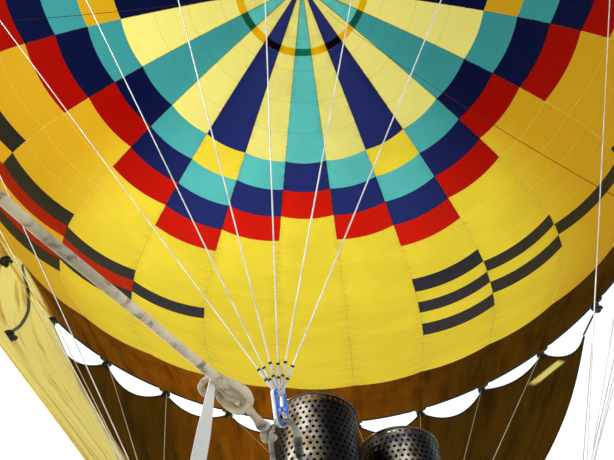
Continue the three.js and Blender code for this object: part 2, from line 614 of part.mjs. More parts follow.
// Crown line: knotted at the near corner, slack out to the widest gore, then up a load tape to the crown ring.
{
  const near = CORNERS[2];
  const beside = CARABINER.halfWidth + CARABINER.wire + GAP + CROWN_LINE.radius;
  const archHeight = CARABINER.seat + CARABINER.length - CARABINER.halfWidth;
  const hitch = [0, 12, 24, 36].map((a) => near.at(archHeight + beside * Math.sin(rad(a)), -beside * Math.cos(rad(a)), 0));
  const start = V(CROWN_KNOT.x, CROWN_KNOT.y, CROWN_KNOT.z);
  const away = V(Math.sin(rad(CROWN_SLACK.heading)), Math.cos(rad(CROWN_SLACK.heading)), 0);
  const leaveFrom = envelopePoint(CROWN_LINE.leave, CROWN_LINE.seam * GORE_ANGLE, 1, -CROWN_LINE.lift);
  const dip = start.clone().addScaledVector(away, CROWN_SLACK.run).add(V(0, 0, -CROWN_SLACK.dip));
  const rise = leaveFrom.clone().add(V(0, 0, -CROWN_SLACK.rise));
  const slack = new THREE.CubicBezierCurve3(start, dip, rise, leaveFrom);
  const over = GORE_STATIONS.filter((s) => s < CROWN_LINE.leave).reverse();
  const overTop = [...over, 0.065, 0.035, (CROWN_RING_RADIUS + CROWN_RING_WIDTH + 12) / GORE_LENGTH];
  const points = [...hitch, ...slack.getPoints(24),
    ...overTop.map((s) => envelopePoint(s, CROWN_LINE.seam * GORE_ANGLE, 1, -CROWN_LINE.lift))];
  const line = tube(points, CROWN_LINE.radius, 8);
  const knot = new THREE.SphereGeometry(CROWN_LINE.knot, 12, 8).translate(...start.toArray());
  add('crown_line', join([line, knot]), CREAM, 0.9);
}

export default balloon;
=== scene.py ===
"""The looks of a hot air balloon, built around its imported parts. Metres, +Z up.

Azimuths are in degrees from +Y towards +X. Gore n is centred on azimuth 15 n, and a seam's number is a half.
"""

import bmesh
import bpy
import numpy as np
from mathutils import Matrix


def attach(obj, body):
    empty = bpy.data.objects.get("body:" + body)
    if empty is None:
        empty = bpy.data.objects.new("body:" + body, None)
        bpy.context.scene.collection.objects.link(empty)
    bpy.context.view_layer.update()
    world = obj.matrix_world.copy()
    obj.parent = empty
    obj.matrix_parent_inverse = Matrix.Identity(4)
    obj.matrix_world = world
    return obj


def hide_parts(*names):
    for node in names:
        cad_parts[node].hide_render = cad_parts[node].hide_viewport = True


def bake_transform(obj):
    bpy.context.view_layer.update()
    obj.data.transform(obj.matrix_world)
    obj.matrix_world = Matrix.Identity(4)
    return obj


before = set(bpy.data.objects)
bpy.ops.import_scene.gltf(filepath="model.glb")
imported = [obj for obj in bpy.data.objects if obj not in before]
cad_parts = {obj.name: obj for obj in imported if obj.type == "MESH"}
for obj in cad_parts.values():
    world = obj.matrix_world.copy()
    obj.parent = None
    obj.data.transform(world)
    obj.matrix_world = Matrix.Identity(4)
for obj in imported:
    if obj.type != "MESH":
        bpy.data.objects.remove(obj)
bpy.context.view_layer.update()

# Camera.
# It stands on the ground beside the basket's near corner and looks steeply up into the mouth.
# Its place and angles were fitted to the seams and panel rows of the envelope.
picture_width_pixels = 614
focal_length_pixels = 466.95
camera_place = (-0.14, -1.53, 1.444)
camera_turn, camera_pitch, camera_roll = np.radians([0.56, 58.37, -1.94])

forward = np.array([np.sin(camera_turn) * np.cos(camera_pitch),
                    np.cos(camera_turn) * np.cos(camera_pitch), np.sin(camera_pitch)])
level = np.array([np.cos(camera_turn), -np.sin(camera_turn), 0.0])
overhead = np.cross(level, forward)
rightwards = level * np.cos(camera_roll) + overhead * np.sin(camera_roll)
upwards = overhead * np.cos(camera_roll) - level * np.sin(camera_roll)
camera = bpy.data.objects.new("camera", bpy.data.cameras.new("camera"))
bpy.context.scene.collection.objects.link(camera)
bpy.context.scene.camera = camera
sensor_millimetres = 36.0
camera.data.sensor_width = sensor_millimetres
camera.data.lens = sensor_millimetres * focal_length_pixels / picture_width_pixels
camera.data.clip_start = 0.05
camera.data.clip_end = 400.0


def placed(x, y, z, origin=(0.0, 0.0, 0.0)):
    """A matrix whose columns are three directions and a place."""
    lie = np.eye(4)
    lie[:3, :] = np.column_stack([x, y, z, origin])
    return Matrix(lie.tolist())


camera.matrix_world = placed(rightwards, upwards, -forward, camera_place)


# Envelope: 24 gores of coated nylon, each sewn from panels 1.40 m high.
# The cloth is thin, so the sky shines through it, and each gore bellies out between its two seams.
# Every panel has one colour: stepped rows below the crown, then yellow with a motif of bars.
gore_count = 24
gore_length = 29.0
gore_slopes = np.radians([0, 6.5, 31, 66, 99, 119, 124, 132, 129])
mouth_height = 4.1
billow_depth = 0.12
top_edge, valve_edge, skirt_top = 0.0885, 0.099, 0.9366
first_row, row_step = 0.2667, 0.04835
profile_steps = 800
slope_places = np.linspace(0, 1, len(gore_slopes))
half_gore = np.radians(7.5)

slope_at_steps = np.interp((np.arange(profile_steps) + 0.5) / profile_steps, slope_places, gore_slopes)
step_length = gore_length / profile_steps
profile_radius = np.concatenate([[0], np.cumsum(np.cos(slope_at_steps)) * step_length])
profile_drop = np.concatenate([[0], np.cumsum(np.sin(slope_at_steps)) * step_length])
crown_height = mouth_height + profile_drop[-1]


def profile_at(s, values):
    """One of the profile's values, radius or drop, at a fraction s down a gore."""
    return np.interp(s * profile_steps, np.arange(profile_steps + 1), values)


def turn_from(azimuth, middle=0.0):
    """Degrees from a middle azimuth, between -180 and 180."""
    return (np.asarray(azimuth, float) - middle + 180) % 360 - 180


def on_envelope(s, azimuth, across=1.0, lift=0.0):
    """A point a fraction s down a gore: radius and drop are sums of cosines and sines of the slope.

    The billow adds depth * sin(pi * share of the way from valve edge to mouth) * (1 - across squared).
    """
    s, azimuth, across = np.broadcast_arrays(*(np.asarray(v, float) for v in (s, azimuth, across)))
    slope = np.interp(s, slope_places, gore_slopes)
    share = np.clip((s - valve_edge) / (1 - valve_edge), 0, 1)
    drop = profile_at(s, profile_drop)
    billow = billow_depth * np.sin(np.pi * share) * (1 - across ** 2)
    radius = profile_at(s, profile_radius) + billow + lift * np.sin(slope)
    turn = np.radians(azimuth)
    height = crown_height - drop + lift * np.cos(slope)
    return np.stack([radius * np.sin(turn), radius * np.cos(turn), height], -1)


def grid_faces(rows, columns, ring_rows=False, ring_columns=False):
    """Quads of a grid: point i * columns + j joined with its neighbours at i + 1 and j + 1."""
    i, j = np.meshgrid(np.arange(rows - (not ring_rows)), np.arange(columns - (not ring_columns)),
                       indexing="ij")
    below, beside = (i + 1) % rows, (j + 1) % columns
    corners = [i * columns + j, i * columns + beside, below * columns + beside, below * columns + j]
    return np.stack(corners, -1).reshape(-1, 4)


def make_piece(name, points, faces, sharp=None, point_values=None, face_slots=None):
    """A mesh at the origin from an array of points and a list of face arrays, one for each number of corners."""
    mesh = bpy.data.meshes.new(name)
    points = np.asarray(points, np.float32).reshape(-1, 3)
    mesh.vertices.add(len(points))
    mesh.vertices.foreach_set("co", points.ravel())
    corners = np.concatenate([np.asarray(f).ravel() for f in faces]).astype(np.int32)
    sizes = np.concatenate([np.full(len(f), f.shape[1]) for f in faces])
    mesh.loops.add(len(corners))
    mesh.loops.foreach_set("vertex_index", corners)
    mesh.polygons.add(len(sizes))
    mesh.polygons.foreach_set("loop_start", np.concatenate([[0], np.cumsum(sizes)[:-1]]).astype(np.int32))
    mesh.polygons.foreach_set("use_smooth", np.ones(len(sizes), bool))
    if face_slots is not None:
        mesh.polygons.foreach_set("material_index", np.asarray(face_slots, np.int32))
    for label, values in (point_values or {}).items():
        carried = mesh.attributes.new(label, "FLOAT", "POINT")
        carried.data.foreach_set("value", np.asarray(values, np.float32).ravel())
    mesh.update(calc_edges=True)
    if sharp is not None:
        mesh.set_sharp_from_angle(angle=np.radians(sharp))
    piece = bpy.data.objects.new(name, mesh)
    bpy.context.scene.collection.objects.link(piece)
    return piece


def dress(piece, body, *materials, slot=None, replaces=()):
    """Gives a piece its materials and its body, and hides the nodes that it stands for; its slot is not used."""
    for material in materials:
        piece.data.materials.append(material)
    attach(piece, body)
    if replaces:
        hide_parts(*replaces)
    return piece


def colour(code):
    """A hex colour code as linear red, green, blue and 1."""
    value = np.array([int(code[i:i + 2], 16) for i in (1, 3, 5)]) / 255
    return (*np.where(value <= 0.04045, value / 12.92, ((value + 0.055) / 1.055) ** 2.4), 1.0)


def put(tree, kind, inputs=None, **settings):
    """Adds a node to a tree, with its settings, and with its inputs set to values or linked to outputs."""
    node = tree.nodes.new(kind)
    for key, value in settings.items():
        setattr(node, key, value)
    for key, value in (inputs or {}).items():
        if isinstance(value, bpy.types.NodeSocket):
            tree.links.new(value, node.inputs[key])
        else:
            node.inputs[key].default_value = value
    return node


def math(tree, operation, a, b=0.0):
    """One output of two numbers."""
    return put(tree, "ShaderNodeMath", {0: a, 1: b}, operation=operation).outputs[0]


def ramp(tree, value, low, high, from_low=0.0, to_high=1.0):
    """A smooth step of value, from from_low at low to to_high at high."""
    inputs = {"Value": value, "From Min": low, "From Max": high, "To Min": from_low, "To Max": to_high}
    return put(tree, "ShaderNodeMapRange", inputs, interpolation_type="SMOOTHSTEP").outputs[0]


def blend_colour(tree, share, a, b):
    """Two colours blended by a share."""
    return put(tree, "ShaderNodeMix", {0: share, 6: a, 7: b}, data_type="RGBA").outputs[2]


def shade(tint, share):
    """A tint with its red, green and blue multiplied by share."""
    return tuple(share * c for c in tint[:3]) + (1.0,)


def attribute(tree, name):
    """A value that a piece carries at each of its points."""
    return put(tree, "ShaderNodeAttribute", attribute_name=name).outputs["Fac"]


def bump(tree, height, strength, distance, over=None):
    """A surface made uneven by a height in metres, on top of another unevenness where one is given."""
    inputs = {"Height": height, "Strength": strength, "Distance": distance}
    if over is not None:
        inputs["Normal"] = over
    return put(tree, "ShaderNodeBump", inputs).outputs[0]


def surface(tree, base, roughness, through=None, lit_normal=None, **sockets):
    """Ends a tree in its shader. A share of through, where it is given, is light that shines through the cloth.

    A socket is named by its own words, joined by _ for a space.
    """
    inputs = {label.replace("_", " "): value for label, value in sockets.items()}
    shader = put(tree, "ShaderNodeBsdfPrincipled", {"Base Color": base, "Roughness": roughness, **inputs}).outputs[0]
    if through is not None:
        light = {"Color": base} if lit_normal is None else {"Color": base, "Normal": lit_normal}
        lit = put(tree, "ShaderNodeBsdfTranslucent", light).outputs[0]
        shader = put(tree, "ShaderNodeMixShader", {0: through, 1: shader, 2: lit}).outputs[0]
    put(tree, "ShaderNodeOutputMaterial", {0: shader})


def noise(tree, scale, detail=3.0, stretch=(1, 1, 1), roughness=0.5):
    """Noise on the piece's own coordinates, stretched along its axes."""
    place = put(tree, "ShaderNodeTexCoord").outputs["Object"]
    mapped = put(tree, "ShaderNodeMapping", {"Vector": place, "Scale": stretch}).outputs[0]
    return put(tree, "ShaderNodeTexNoise", {"Vector": mapped, "Scale": scale, "Detail": detail,
                                            "Roughness": roughness}).outputs["Fac"]


def blank_material(name):
    """A material with an empty node tree."""
    material = bpy.data.materials.new(name)
    material.use_nodes = True
    material.node_tree.nodes.clear()
    return material, material.node_tree


def balloon_cloth(name, tint, seam_tint, through, shaded_tint, shade_power=1.0):
    """Thin cloth: a tint with slow noise, another where it is sewn double, with a share of light coming through.

    Painted shade: on the gores away from the front the tint goes darker, over to a shaded tint by the painted side
    shade attribute to a given power.
    """
    material, tree = blank_material(name)
    edge, panel, side = (attribute(tree, n) for n in ("edge_m", "panel", "painted_side_shade"))
    in_row = math(tree, "FRACT", math(tree, "ADD", panel, 0.5))
    from_row = math(tree, "ABSOLUTE", math(tree, "SUBTRACT", in_row, 0.5))
    sewn = math(tree, "MAXIMUM", ramp(tree, edge, 0.006, 0.016, 0.8, 0.0),
                ramp(tree, from_row, 0.003, 0.008, 0.45, 0.0))
    patchy = ramp(tree, noise(tree, 0.55, 3.0), 0.3, 0.7)
    cloth = blend_colour(tree, patchy, tint, shade(tint, 0.9))
    ripple = noise(tree, 2.2, 4.0, (1.0, 1.0, 3.5))
    # Painted shade: darker streaks in the puckers near the seams, where the ripples crease the cloth.
    near_seam = ramp(tree, edge, 0.02, 0.30, 1.0, 0.15)
    pucker_shade = math(tree, "MULTIPLY", near_seam, ramp(tree, ripple, 0.42, 0.62, 0.0, 0.55))
    cloth = blend_colour(tree, pucker_shade, cloth, shade(tint, 0.72))
    # Painted shade: the gores away from the front go darker.
    cloth = blend_colour(tree, math(tree, "POWER", side, shade_power), cloth, shaded_tint)
    cloth = blend_colour(tree, sewn, cloth, seam_tint)
    rough = bump(tree, ripple, 0.5, 0.03)
    surface(tree, cloth, 0.5, through, rough, Normal=rough, Specular_IOR_Level=0.2, Sheen_Weight=0.1)
    return material


# For each cloth: its tint, its seams' tint, the share of light through it, its painted shaded tint away from the front,
# and the power that sets how soon it goes over to that.
cloth_tints = {
    "yellow": ("#FAE03C", "#FFF080", 0.62, "#D2A11D", 4.0), "pale": ("#F3EA80", "#8F8A3A", 0.62, "#F3EA80"),
    "teal": ("#5CC6C2", "#0E4F50", 0.62, "#3A9698"), "navy": ("#242F70", "#080B22", 0.62, "#040E38"),
    "red": ("#DA180C", "#6A0C0A", 0.62, "#9D0602"), "orange": ("#F2B41E", "#B87A10", 0.62, "#E0A31C"),
    "bar": ("#26293C", "#15161E", 0.62, "#20231C"), "double_pale": ("#FFCE1C", "#C08A10", 0.95, "#FFCE1C"),
    "double_teal": ("#2E9A80", "#0E4F50", 0.75, "#2E9A80"), "double_navy": ("#0B1030", "#05070F", 0.62, "#0B1030"),
}
cloth_order = list(cloth_tints)
cloths = [balloon_cloth("cloth_" + n, colour(a), colour(b), c, colour(d), *shade_power)
          for n, (a, b, c, d, *shade_power) in cloth_tints.items()]

# Colours of the stepped rows for the three kinds of gore, which repeat over four gores.
stepped = [["teal", "navy", "red"], ["pale", "teal", "navy", "red"], ["navy", "yellow", "teal", "navy", "red"],
           ["pale", "teal", "navy", "red"]]
# Bars of the low motif by distance in gores from its middle gore: row number and colour.
bars = {
    -5: {6: "bar", 8: "bar", 10: "bar"}, -4: {7: "bar", 9: "bar"}, -3: {8: "bar"},
    -2: {7: "bar", 8: "red", 9: "bar"}, -1: {6: "bar", 7: "red", 8: "orange", 9: "red", 10: "bar"},
    0: {5: "bar", 6: "orange", 7: "red", 8: "bar", 9: "red", 10: "orange", 11: "bar"},
    1: {6: "bar", 7: "red", 8: "orange", 9: "red", 10: "bar"}, 2: {7: "bar", 8: "red", 9: "bar"}, 3: {8: "bar"},
}
motif_middles = (-5, 7)


def panel_number(s):
    """Panels counted down the gore from the first stepped row."""
    return (s - first_row) / row_step


def cloth_of(gore, panel):
    """The cloth's place in the list for a gore and a panel number."""
    steps = stepped[gore % 4]
    row = int(np.floor(panel))
    if row < 0:
        return cloth_order.index(steps[0])
    if row + 1 < len(steps):
        return cloth_order.index(steps[row + 1])
    for middle in motif_middles:
        apart = (gore - middle + 12) % 24 - 12
        if row in bars.get(apart, {}):
            return cloth_order.index(bars[apart][row])
    return cloth_order.index("yellow")


def ramp_up(value, low, high):
    """0 below low, 1 above high, and 3 t squared - 2 t cubed between them."""
    share = np.clip((np.asarray(value, float) - low) / (high - low), 0, 1)
    return share ** 2 * (3 - 2 * share)


rows_per_panel, gore_columns = 6, 13
panel_edges = np.concatenate([[panel_number(top_edge)], np.arange(-3, 14), [panel_number(skirt_top)]])
gore_panels = np.concatenate([np.linspace(a, b, rows_per_panel, endpoint=False)
                              for a, b in zip(panel_edges[:-1], panel_edges[1:])] + [panel_edges[-1:]])
gore_rows = first_row + row_step * gore_panels
across_gore = np.linspace(-1, 1, gore_columns)
half_width = profile_at(gore_rows, profile_radius) * half_gore
# Painted shade: gores more than 22 degrees from the front start to go darker, fully by 62 degrees.
unshaded_within, shaded_beyond = 22, 62
middle_of_rows = (gore_panels[1:] + gore_panels[:-1]) / 2
for gore in range(gore_count):
    azimuths = 15 * (gore + across_gore / 2)
    points = on_envelope(gore_rows[:, None], azimuths[None, :], across_gore[None, :])
    edge = half_width[:, None] * (1 - np.abs(across_gore))[None, :]
    panel = np.broadcast_to(gore_panels[:, None], edge.shape)
    away = ramp_up(np.abs(turn_from(azimuths)), unshaded_within, shaded_beyond)
    painted_side_shade = np.broadcast_to(away[None, :], edge.shape)
    slots = np.repeat([cloth_of(gore, p) for p in middle_of_rows], gore_columns - 1)
    name = f"gore_{gore + 1:02d}"
    cloth = make_piece(name + "_cloth", points, [grid_faces(len(gore_rows), gore_columns)],
                       point_values={"edge_m": edge, "panel": panel, "painted_side_shade": painted_side_shade}, face_slots=slots)
    tint = ["gore_teal", "gore_yellow", "gore_navy", "gore_yellow"][gore % 4]
    dress(cloth, "balloon", *cloths, slot=tint, replaces=(name,))


# Load tapes: flat woven polyester tapes that carry the basket's weight.
# They are sewn over the seams, from the crown ring to the mouth loops.
tape_half, tape_thick = 0.009, 0.003
seam_azimuths = 15 * (np.arange(gore_count) + 0.5)


def tapes(stations, azimuths, half, thick, lift):
    """Flat tapes down the seams: four corners, at plus and minus half along the parallel, lifted by two amounts."""
    s, a = np.meshgrid(stations, azimuths, indexing="ij")
    low, high = on_envelope(s, a, 1.0, lift), on_envelope(s, a, 1.0, lift + thick)
    side = np.stack([np.cos(np.radians(a)), -np.sin(np.radians(a)), np.zeros_like(a)], -1) * half
    ring = np.stack([low - side, high - side, high + side, low + side], 2)
    points = np.moveaxis(ring, 1, 0)
    rows = len(stations)
    quads = grid_faces(rows, 4, False, True)
    ends = np.array([[3, 2, 1, 0], [4 * rows - 4, 4 * rows - 3, 4 * rows - 2, 4 * rows - 1]])
    shift = (np.arange(len(azimuths)) * 4 * rows)[:, None, None]
    return points.reshape(-1, 3), [(np.concatenate([quads, ends])[None] + shift).reshape(-1, 4)]


def webbing(name, tint, scale=900.0, through=0.0):
    """Woven webbing: a tint with a fine rib from a wave on the piece's coordinates, slow dirt, light through it."""
    material, tree = blank_material(name)
    place = put(tree, "ShaderNodeTexCoord").outputs["Object"]
    wave = {"Vector": place, "Scale": scale / 6.28, "Distortion": 1.5, "Detail": 1.0}
    rib = put(tree, "ShaderNodeTexWave", wave).outputs["Fac"]
    worn = noise(tree, 6.0, 4.0)
    cloth = blend_colour(tree, ramp(tree, worn, 0.4, 0.75, 0.0, 0.5), tint, shade(tint, 0.7))
    cloth = blend_colour(tree, math(tree, "MULTIPLY", rib, 0.25), cloth, shade(tint, 0.6))
    surface(tree, cloth, 0.8, through, Normal=bump(tree, rib, 0.4, 0.0006), Sheen_Weight=0.3)
    return material


tape_cloth = webbing("load_tape_webbing", colour("#FFF8DC"), 300.0, 0.95)
tape_lift, over_skirt = 0.002, [0.96, 0.98, 1.0]
tape_stations = np.concatenate([gore_rows[::3], over_skirt])
tape_shape = tapes(tape_stations, seam_azimuths, tape_half, tape_thick, tape_lift)
dress(make_piece("load_tapes", *tape_shape), "balloon", tape_cloth, slot="line")

# Crown ring: a welded aluminium ring in the middle of the valve's opening.
# The 24 tapes that cross the opening are sewn round it and hold the valve down against the hot air.
ring_radius, ring_round = 0.19, 0.010


def tube(path, radius, sides=12, closed=False):
    """A circle carried along a path: centre + radius * (cos a * side + sin a * up), side and up square with it."""
    path = np.asarray(path, float)
    radius = np.broadcast_to(np.asarray(radius, float), len(path))
    ahead = np.roll(path, -1, 0) - np.roll(path, 1, 0) if closed else np.gradient(path, axis=0)
    ahead = ahead / np.linalg.norm(ahead, axis=1, keepdims=True)
    reference = np.eye(3)[np.argmin(np.abs(ahead).max(0))]
    side = np.cross(reference, ahead)
    side /= np.linalg.norm(side, axis=1, keepdims=True)
    up = np.cross(ahead, side)
    turn = 2 * np.pi * np.arange(sides) / sides
    circle = np.cos(turn)[None, :, None] * side[:, None] + np.sin(turn)[None, :, None] * up[:, None]
    points = path[:, None] + radius[:, None, None] * circle
    faces = [grid_faces(len(path), sides, closed, True)]
    if not closed:
        last = sides * (len(path) - 1)
        faces.append(np.stack([np.arange(sides)[::-1], last + np.arange(sides)]))
    return points.reshape(-1, 3), faces


def circle(radius, height, centre=(0.0, 0.0), count=48):
    """A level circle of points."""
    turn = 2 * np.pi * np.arange(count) / count
    x, y = centre[0] + radius * np.cos(turn), centre[1] + radius * np.sin(turn)
    return np.stack([x, y, np.full(count, height)], -1)


def metal(name, tint, roughness=0.35, dull=None, scale=18.0, scratch=0.25, metallic=1.0):
    """Metal: a tint with duller blotches from noise, and roughness and bump from fine streaks."""
    material, tree = blank_material(name)
    blotch = ramp(tree, noise(tree, scale, 4.0), 0.35, 0.7)
    coat = blend_colour(tree, blotch, tint, dull or shade(tint, 0.7))
    streak = noise(tree, 140.0, 2.0, (1.0, 1.0, 0.1))
    rough = ramp(tree, streak, 0.2, 0.8, roughness * (1 - scratch), roughness * (1 + scratch))
    surface(tree, coat, rough, Metallic=metallic, Normal=bump(tree, streak, 0.15, 0.0005))
    return material


ring_metal = metal("crown_ring_aluminium", colour("#C9CBCD"), 0.3)
ring_below_crown = 0.009
ring_height = crown_height - ring_below_crown + ring_round
crown_shape = tube(circle(ring_radius, ring_height), ring_round, 16, True)
dress(make_piece("crown_ring_round", *crown_shape), "balloon", ring_metal, slot="crown_metal",
      replaces=("crown_ring",))
crown_stations = np.linspace(ring_radius / gore_length, top_edge - 0.0005, 14)
crown_tape_half, crown_tape_lift = 0.022, -0.007
tape_cross = tapes(crown_stations, seam_azimuths, crown_tape_half, tape_thick, crown_tape_lift)
dress(make_piece("crown_tapes", *tape_cross), "balloon", tape_cloth, slot="line")

# Parachute valve: a round of the same cloth that hot air presses up against the opening from below.
# It overlaps the gores' top edges by 0.3 m, and the cords below pull it down and centre it.
def round_gores(per_gore):
    """Azimuths right round, per_gore to a gore, and how far each is from its gore's middle, which is 1 at a seam."""
    place = np.arange(gore_count * per_gore) / per_gore
    return 15 * place, np.abs(((place + 0.5) % 1) - 0.5) * 2


single_rows, overlap_rows, valve_per_gore, valve_lift = 21, 3, 8, -0.013
valve_stations = np.concatenate([np.linspace(0, top_edge, single_rows + 1),
                                 np.linspace(top_edge, valve_edge, overlap_rows + 1)[1:]])
valve_azimuths, valve_across = round_gores(valve_per_gore)
valve_columns = len(valve_azimuths)
valve_points = on_envelope(valve_stations[1:, None], valve_azimuths[None, :], 1.0, valve_lift)
valve_points = np.concatenate([on_envelope([0.0], [0.0], 1.0, valve_lift), valve_points.reshape(-1, 3)])
valve_width = profile_at(valve_stations[1:], profile_radius) * half_gore
valve_edge_m = np.concatenate([[0.0], (valve_width[:, None] * (1 - valve_across)[None, :]).ravel()])
valve_panel = np.concatenate([[0.5], np.repeat(panel_number(valve_stations[1:]) + 1.0, valve_columns)])
valve_quads = grid_faces(single_rows + overlap_rows, valve_columns, False, True) + 1
centre_fan = np.stack([np.zeros(valve_columns, int), 1 + (np.arange(valve_columns) + 1) % valve_columns,
                       1 + np.arange(valve_columns)], -1)[:, ::-1]
sector = [stepped[int(np.floor(c / valve_per_gore + 0.5)) % gore_count % 4][0]
          for c in np.arange(valve_columns) + 0.5]
single, double = ([cloth_order.index(kind + tint) for tint in sector] for kind in ("", "double_"))
valve_slots = np.concatenate([single] * single_rows + [double] * overlap_rows)
valve = make_piece("parachute_valve_cloth", valve_points, [centre_fan, valve_quads],
                   point_values={"edge_m": valve_edge_m, "panel": valve_panel}, face_slots=valve_slots)
dress(valve, "parachute", *cloths, slot="valve_fabric", replaces=("parachute_valve",))
valve_rim = on_envelope(valve_edge, valve_azimuths, 1.0, valve_lift)
dress(make_piece("parachute_valve_hem", *tube(valve_rim, 0.006, 8, True)), "parachute", tape_cloth, slot="line")


# Valve lines: thin dark cords from the valve to the envelope's wall, one to each side.
# Their upper ends are tied to the valve, and they sag under their own weight.
def hung(start, end, sag, count=40):
    """A line between two points that sags by 4 * sag * t * (1 - t)."""
    t = np.linspace(0, 1, count)[:, None]
    return np.asarray(start) * (1 - t) + np.asarray(end) * t - np.array([0, 0, 4 * sag]) * t * (1 - t)


dark_cord = webbing("dark_cord", colour("#2B2A28"), 2000.0)
valve_line_sag, valve_line_radius = 2.0, 0.006
for label, tied, fraction, azimuth in (("right", (0.05, 45.0), 0.80, 66.0), ("left", (0.002, 0.0), 0.75, -94.0)):
    pulley, tie = on_envelope(fraction, azimuth, 0.6, -0.03), on_envelope(*tied, 1.0, -0.02)
    line = make_piece("valve_line_" + label, *tube(hung(pulley, tie, valve_line_sag, 60), valve_line_radius, 6))
    line.data.materials.append(dark_cord)
    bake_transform(line)

# Skirt: a band of brown flame-proof cloth below the gores, with a dark bound hem.
# It is cut up between the mouth loops, and it gathers to a black knot at each loop.
scallop = 0.0042
loop_azimuths = [-67.5, -52.5, -37.5, -22.5, -7.5, 7.5]
loop_raise = [0.0, 0.06, 0.125, 0.115, 0.05, 0.0]
skirt_rows, skirt_per_gore = 13, 32


def mouth_s(azimuth):
    """The mouth's place down the gore: 1, less where the wind lifts the front loops, joined by straight lines."""
    return 1 - np.interp(turn_from(azimuth), loop_azimuths, loop_raise) / gore_length


skirt_azimuths, skirt_across = round_gores(skirt_per_gore)
skirt_columns = len(skirt_azimuths)
hem_s = mouth_s(skirt_azimuths) - scallop * (1 - skirt_across ** 14)
share = np.linspace(0, 1, skirt_rows)[:, None]
skirt_s = skirt_top + share * (hem_s - skirt_top)[None, :]
gather_depth, gather_reach, gather_pleats = 0.022, 0.16, 70
gather = (gather_depth * np.exp(-((1 - skirt_across) / gather_reach) ** 2)
          * np.cos((1 - skirt_across) * gather_pleats))
skirt_points = on_envelope(skirt_s, skirt_azimuths[None, :], skirt_across[None, :], -gather[None, :] * share ** 2)


def flame_proof_cloth(name):
    """Brown cloth with stains and weave, and painted light in its colour.

    The brown goes from olive to orange by the attribute glow, a painted glow of light coming through the cloth, and it
    goes over to a painted pale yellow-brown sunlit colour where the painted sunlight attribute is 1. Long folds follow
    the attributes across and down, which run over the cloth in metres; they carry painted shade in their hollows and a
    painted highlight on their ridges. A gap lets the sun fall in one painted streak of sunlight, where streak_across
    and streak_along are nearest 1.
    """
    material, tree = blank_material(name)
    painted_sunlight, glow, across, down, streak_across, streak_along = (
        attribute(tree, n) for n in ("painted_sunlight", "glow", "across", "down", "streak_across", "streak_along"))
    on_cloth = put(tree, "ShaderNodeCombineXYZ", {0: across, 1: math(tree, "MULTIPLY", down, 0.16)}).outputs[0]
    fold = put(tree, "ShaderNodeTexNoise", {"Vector": on_cloth, "Scale": 3.4, "Detail": 5.0,
                                            "Roughness": 0.6}).outputs["Fac"]
    stain = ramp(tree, noise(tree, 1.6, 5.0), 0.3, 0.75)
    # Painted light: olive where little light is painted coming through, orange where much is.
    brown = blend_colour(tree, glow, colour("#4A3508"), colour("#A65E0C"))
    brown = blend_colour(tree, math(tree, "MULTIPLY", stain, 0.35), brown, colour("#2A1C06"))
    # Painted shade in the hollows of the folds.
    brown = blend_colour(tree, ramp(tree, fold, 0.34, 0.50, 0.55, 0.0), brown, colour("#1C1204"))
    # Painted highlight on the fold ridges, stronger where the painted glow is.
    fold_highlight = math(tree, "MULTIPLY", ramp(tree, fold, 0.50, 0.66, 0.0, 0.35), math(tree, "ADD", 0.06, glow))
    brown = blend_colour(tree, fold_highlight, brown, colour("#B8761C"))
    # Painted sunlight: the sunlit colour, with stains, and painted shade in its folds.
    sunlit_tan = blend_colour(tree, math(tree, "MULTIPLY", stain, 0.15), colour("#FFF08A"), colour("#E2B84A"))
    sunlit_tan = blend_colour(tree, ramp(tree, fold, 0.50, 0.61, 0.0, 0.75), sunlit_tan, colour("#C08A20"))
    # Painted sunlight: one streak where light falls in through a gap.
    in_width, in_length = (
        ramp(tree, math(tree, "ABSOLUTE", math(tree, "SUBTRACT", from_streak, 1.0)), inner, outer, 1.0, 0.0)
        for from_streak, inner, outer in ((streak_across, 0.012, 0.024), (streak_along, 0.12, 0.17)))
    painted_light = math(tree, "MULTIPLY", in_width, in_length)
    cloth = blend_colour(tree, math(tree, "MAXIMUM", painted_sunlight, painted_light), brown, sunlit_tan)
    fine = bump(tree, noise(tree, 260.0, 2.0), 0.2, 0.0006, bump(tree, fold, 0.9, 0.05))
    surface(tree, cloth, 0.9, 0.45, fine, Normal=fine, Specular_IOR_Level=0.05)
    return material


def glow_at(azimuth):
    """Painted light through the skirt: most in front, least on the right and behind."""
    return np.interp(turn_from(azimuth), [-68, -52, -34, -12, 12, 32, 70],
                     [0.42, 0.50, 0.80, 1.0, 0.45, 0.12, 0.05])


def painted_sunlight_at(azimuth):
    """Painted sunlight: 1 on the sunny side, from azimuth -67 round to -150, 0 elsewhere, with a short step between."""
    return 1 - np.clip((np.abs(turn_from(azimuth, -110)) - 42.2) / 0.4, 0, 1)


brown_cloth = flame_proof_cloth("flame_proof_cloth")
binding = webbing("hem_binding", colour("#1C1712"), 1200.0)
loop_spacing = 1.2
over_skirt_cloth = {"painted_sunlight": painted_sunlight_at(skirt_azimuths)[None, :], "glow": glow_at(skirt_azimuths)[None, :],
                    "across": skirt_azimuths[None, :] / 15 * loop_spacing, "down": (skirt_s - skirt_top) * gore_length}
over_skirt_cloth = {label: np.broadcast_to(values, skirt_s.shape) for label, values in over_skirt_cloth.items()}
skirt = make_piece("skirt_cloth", skirt_points, [grid_faces(skirt_rows, skirt_columns, False, True)],
                   point_values=over_skirt_cloth)
dress(skirt, "balloon", brown_cloth, slot="skirt_fabric", replaces=("skirt",))
hem_sides = 8
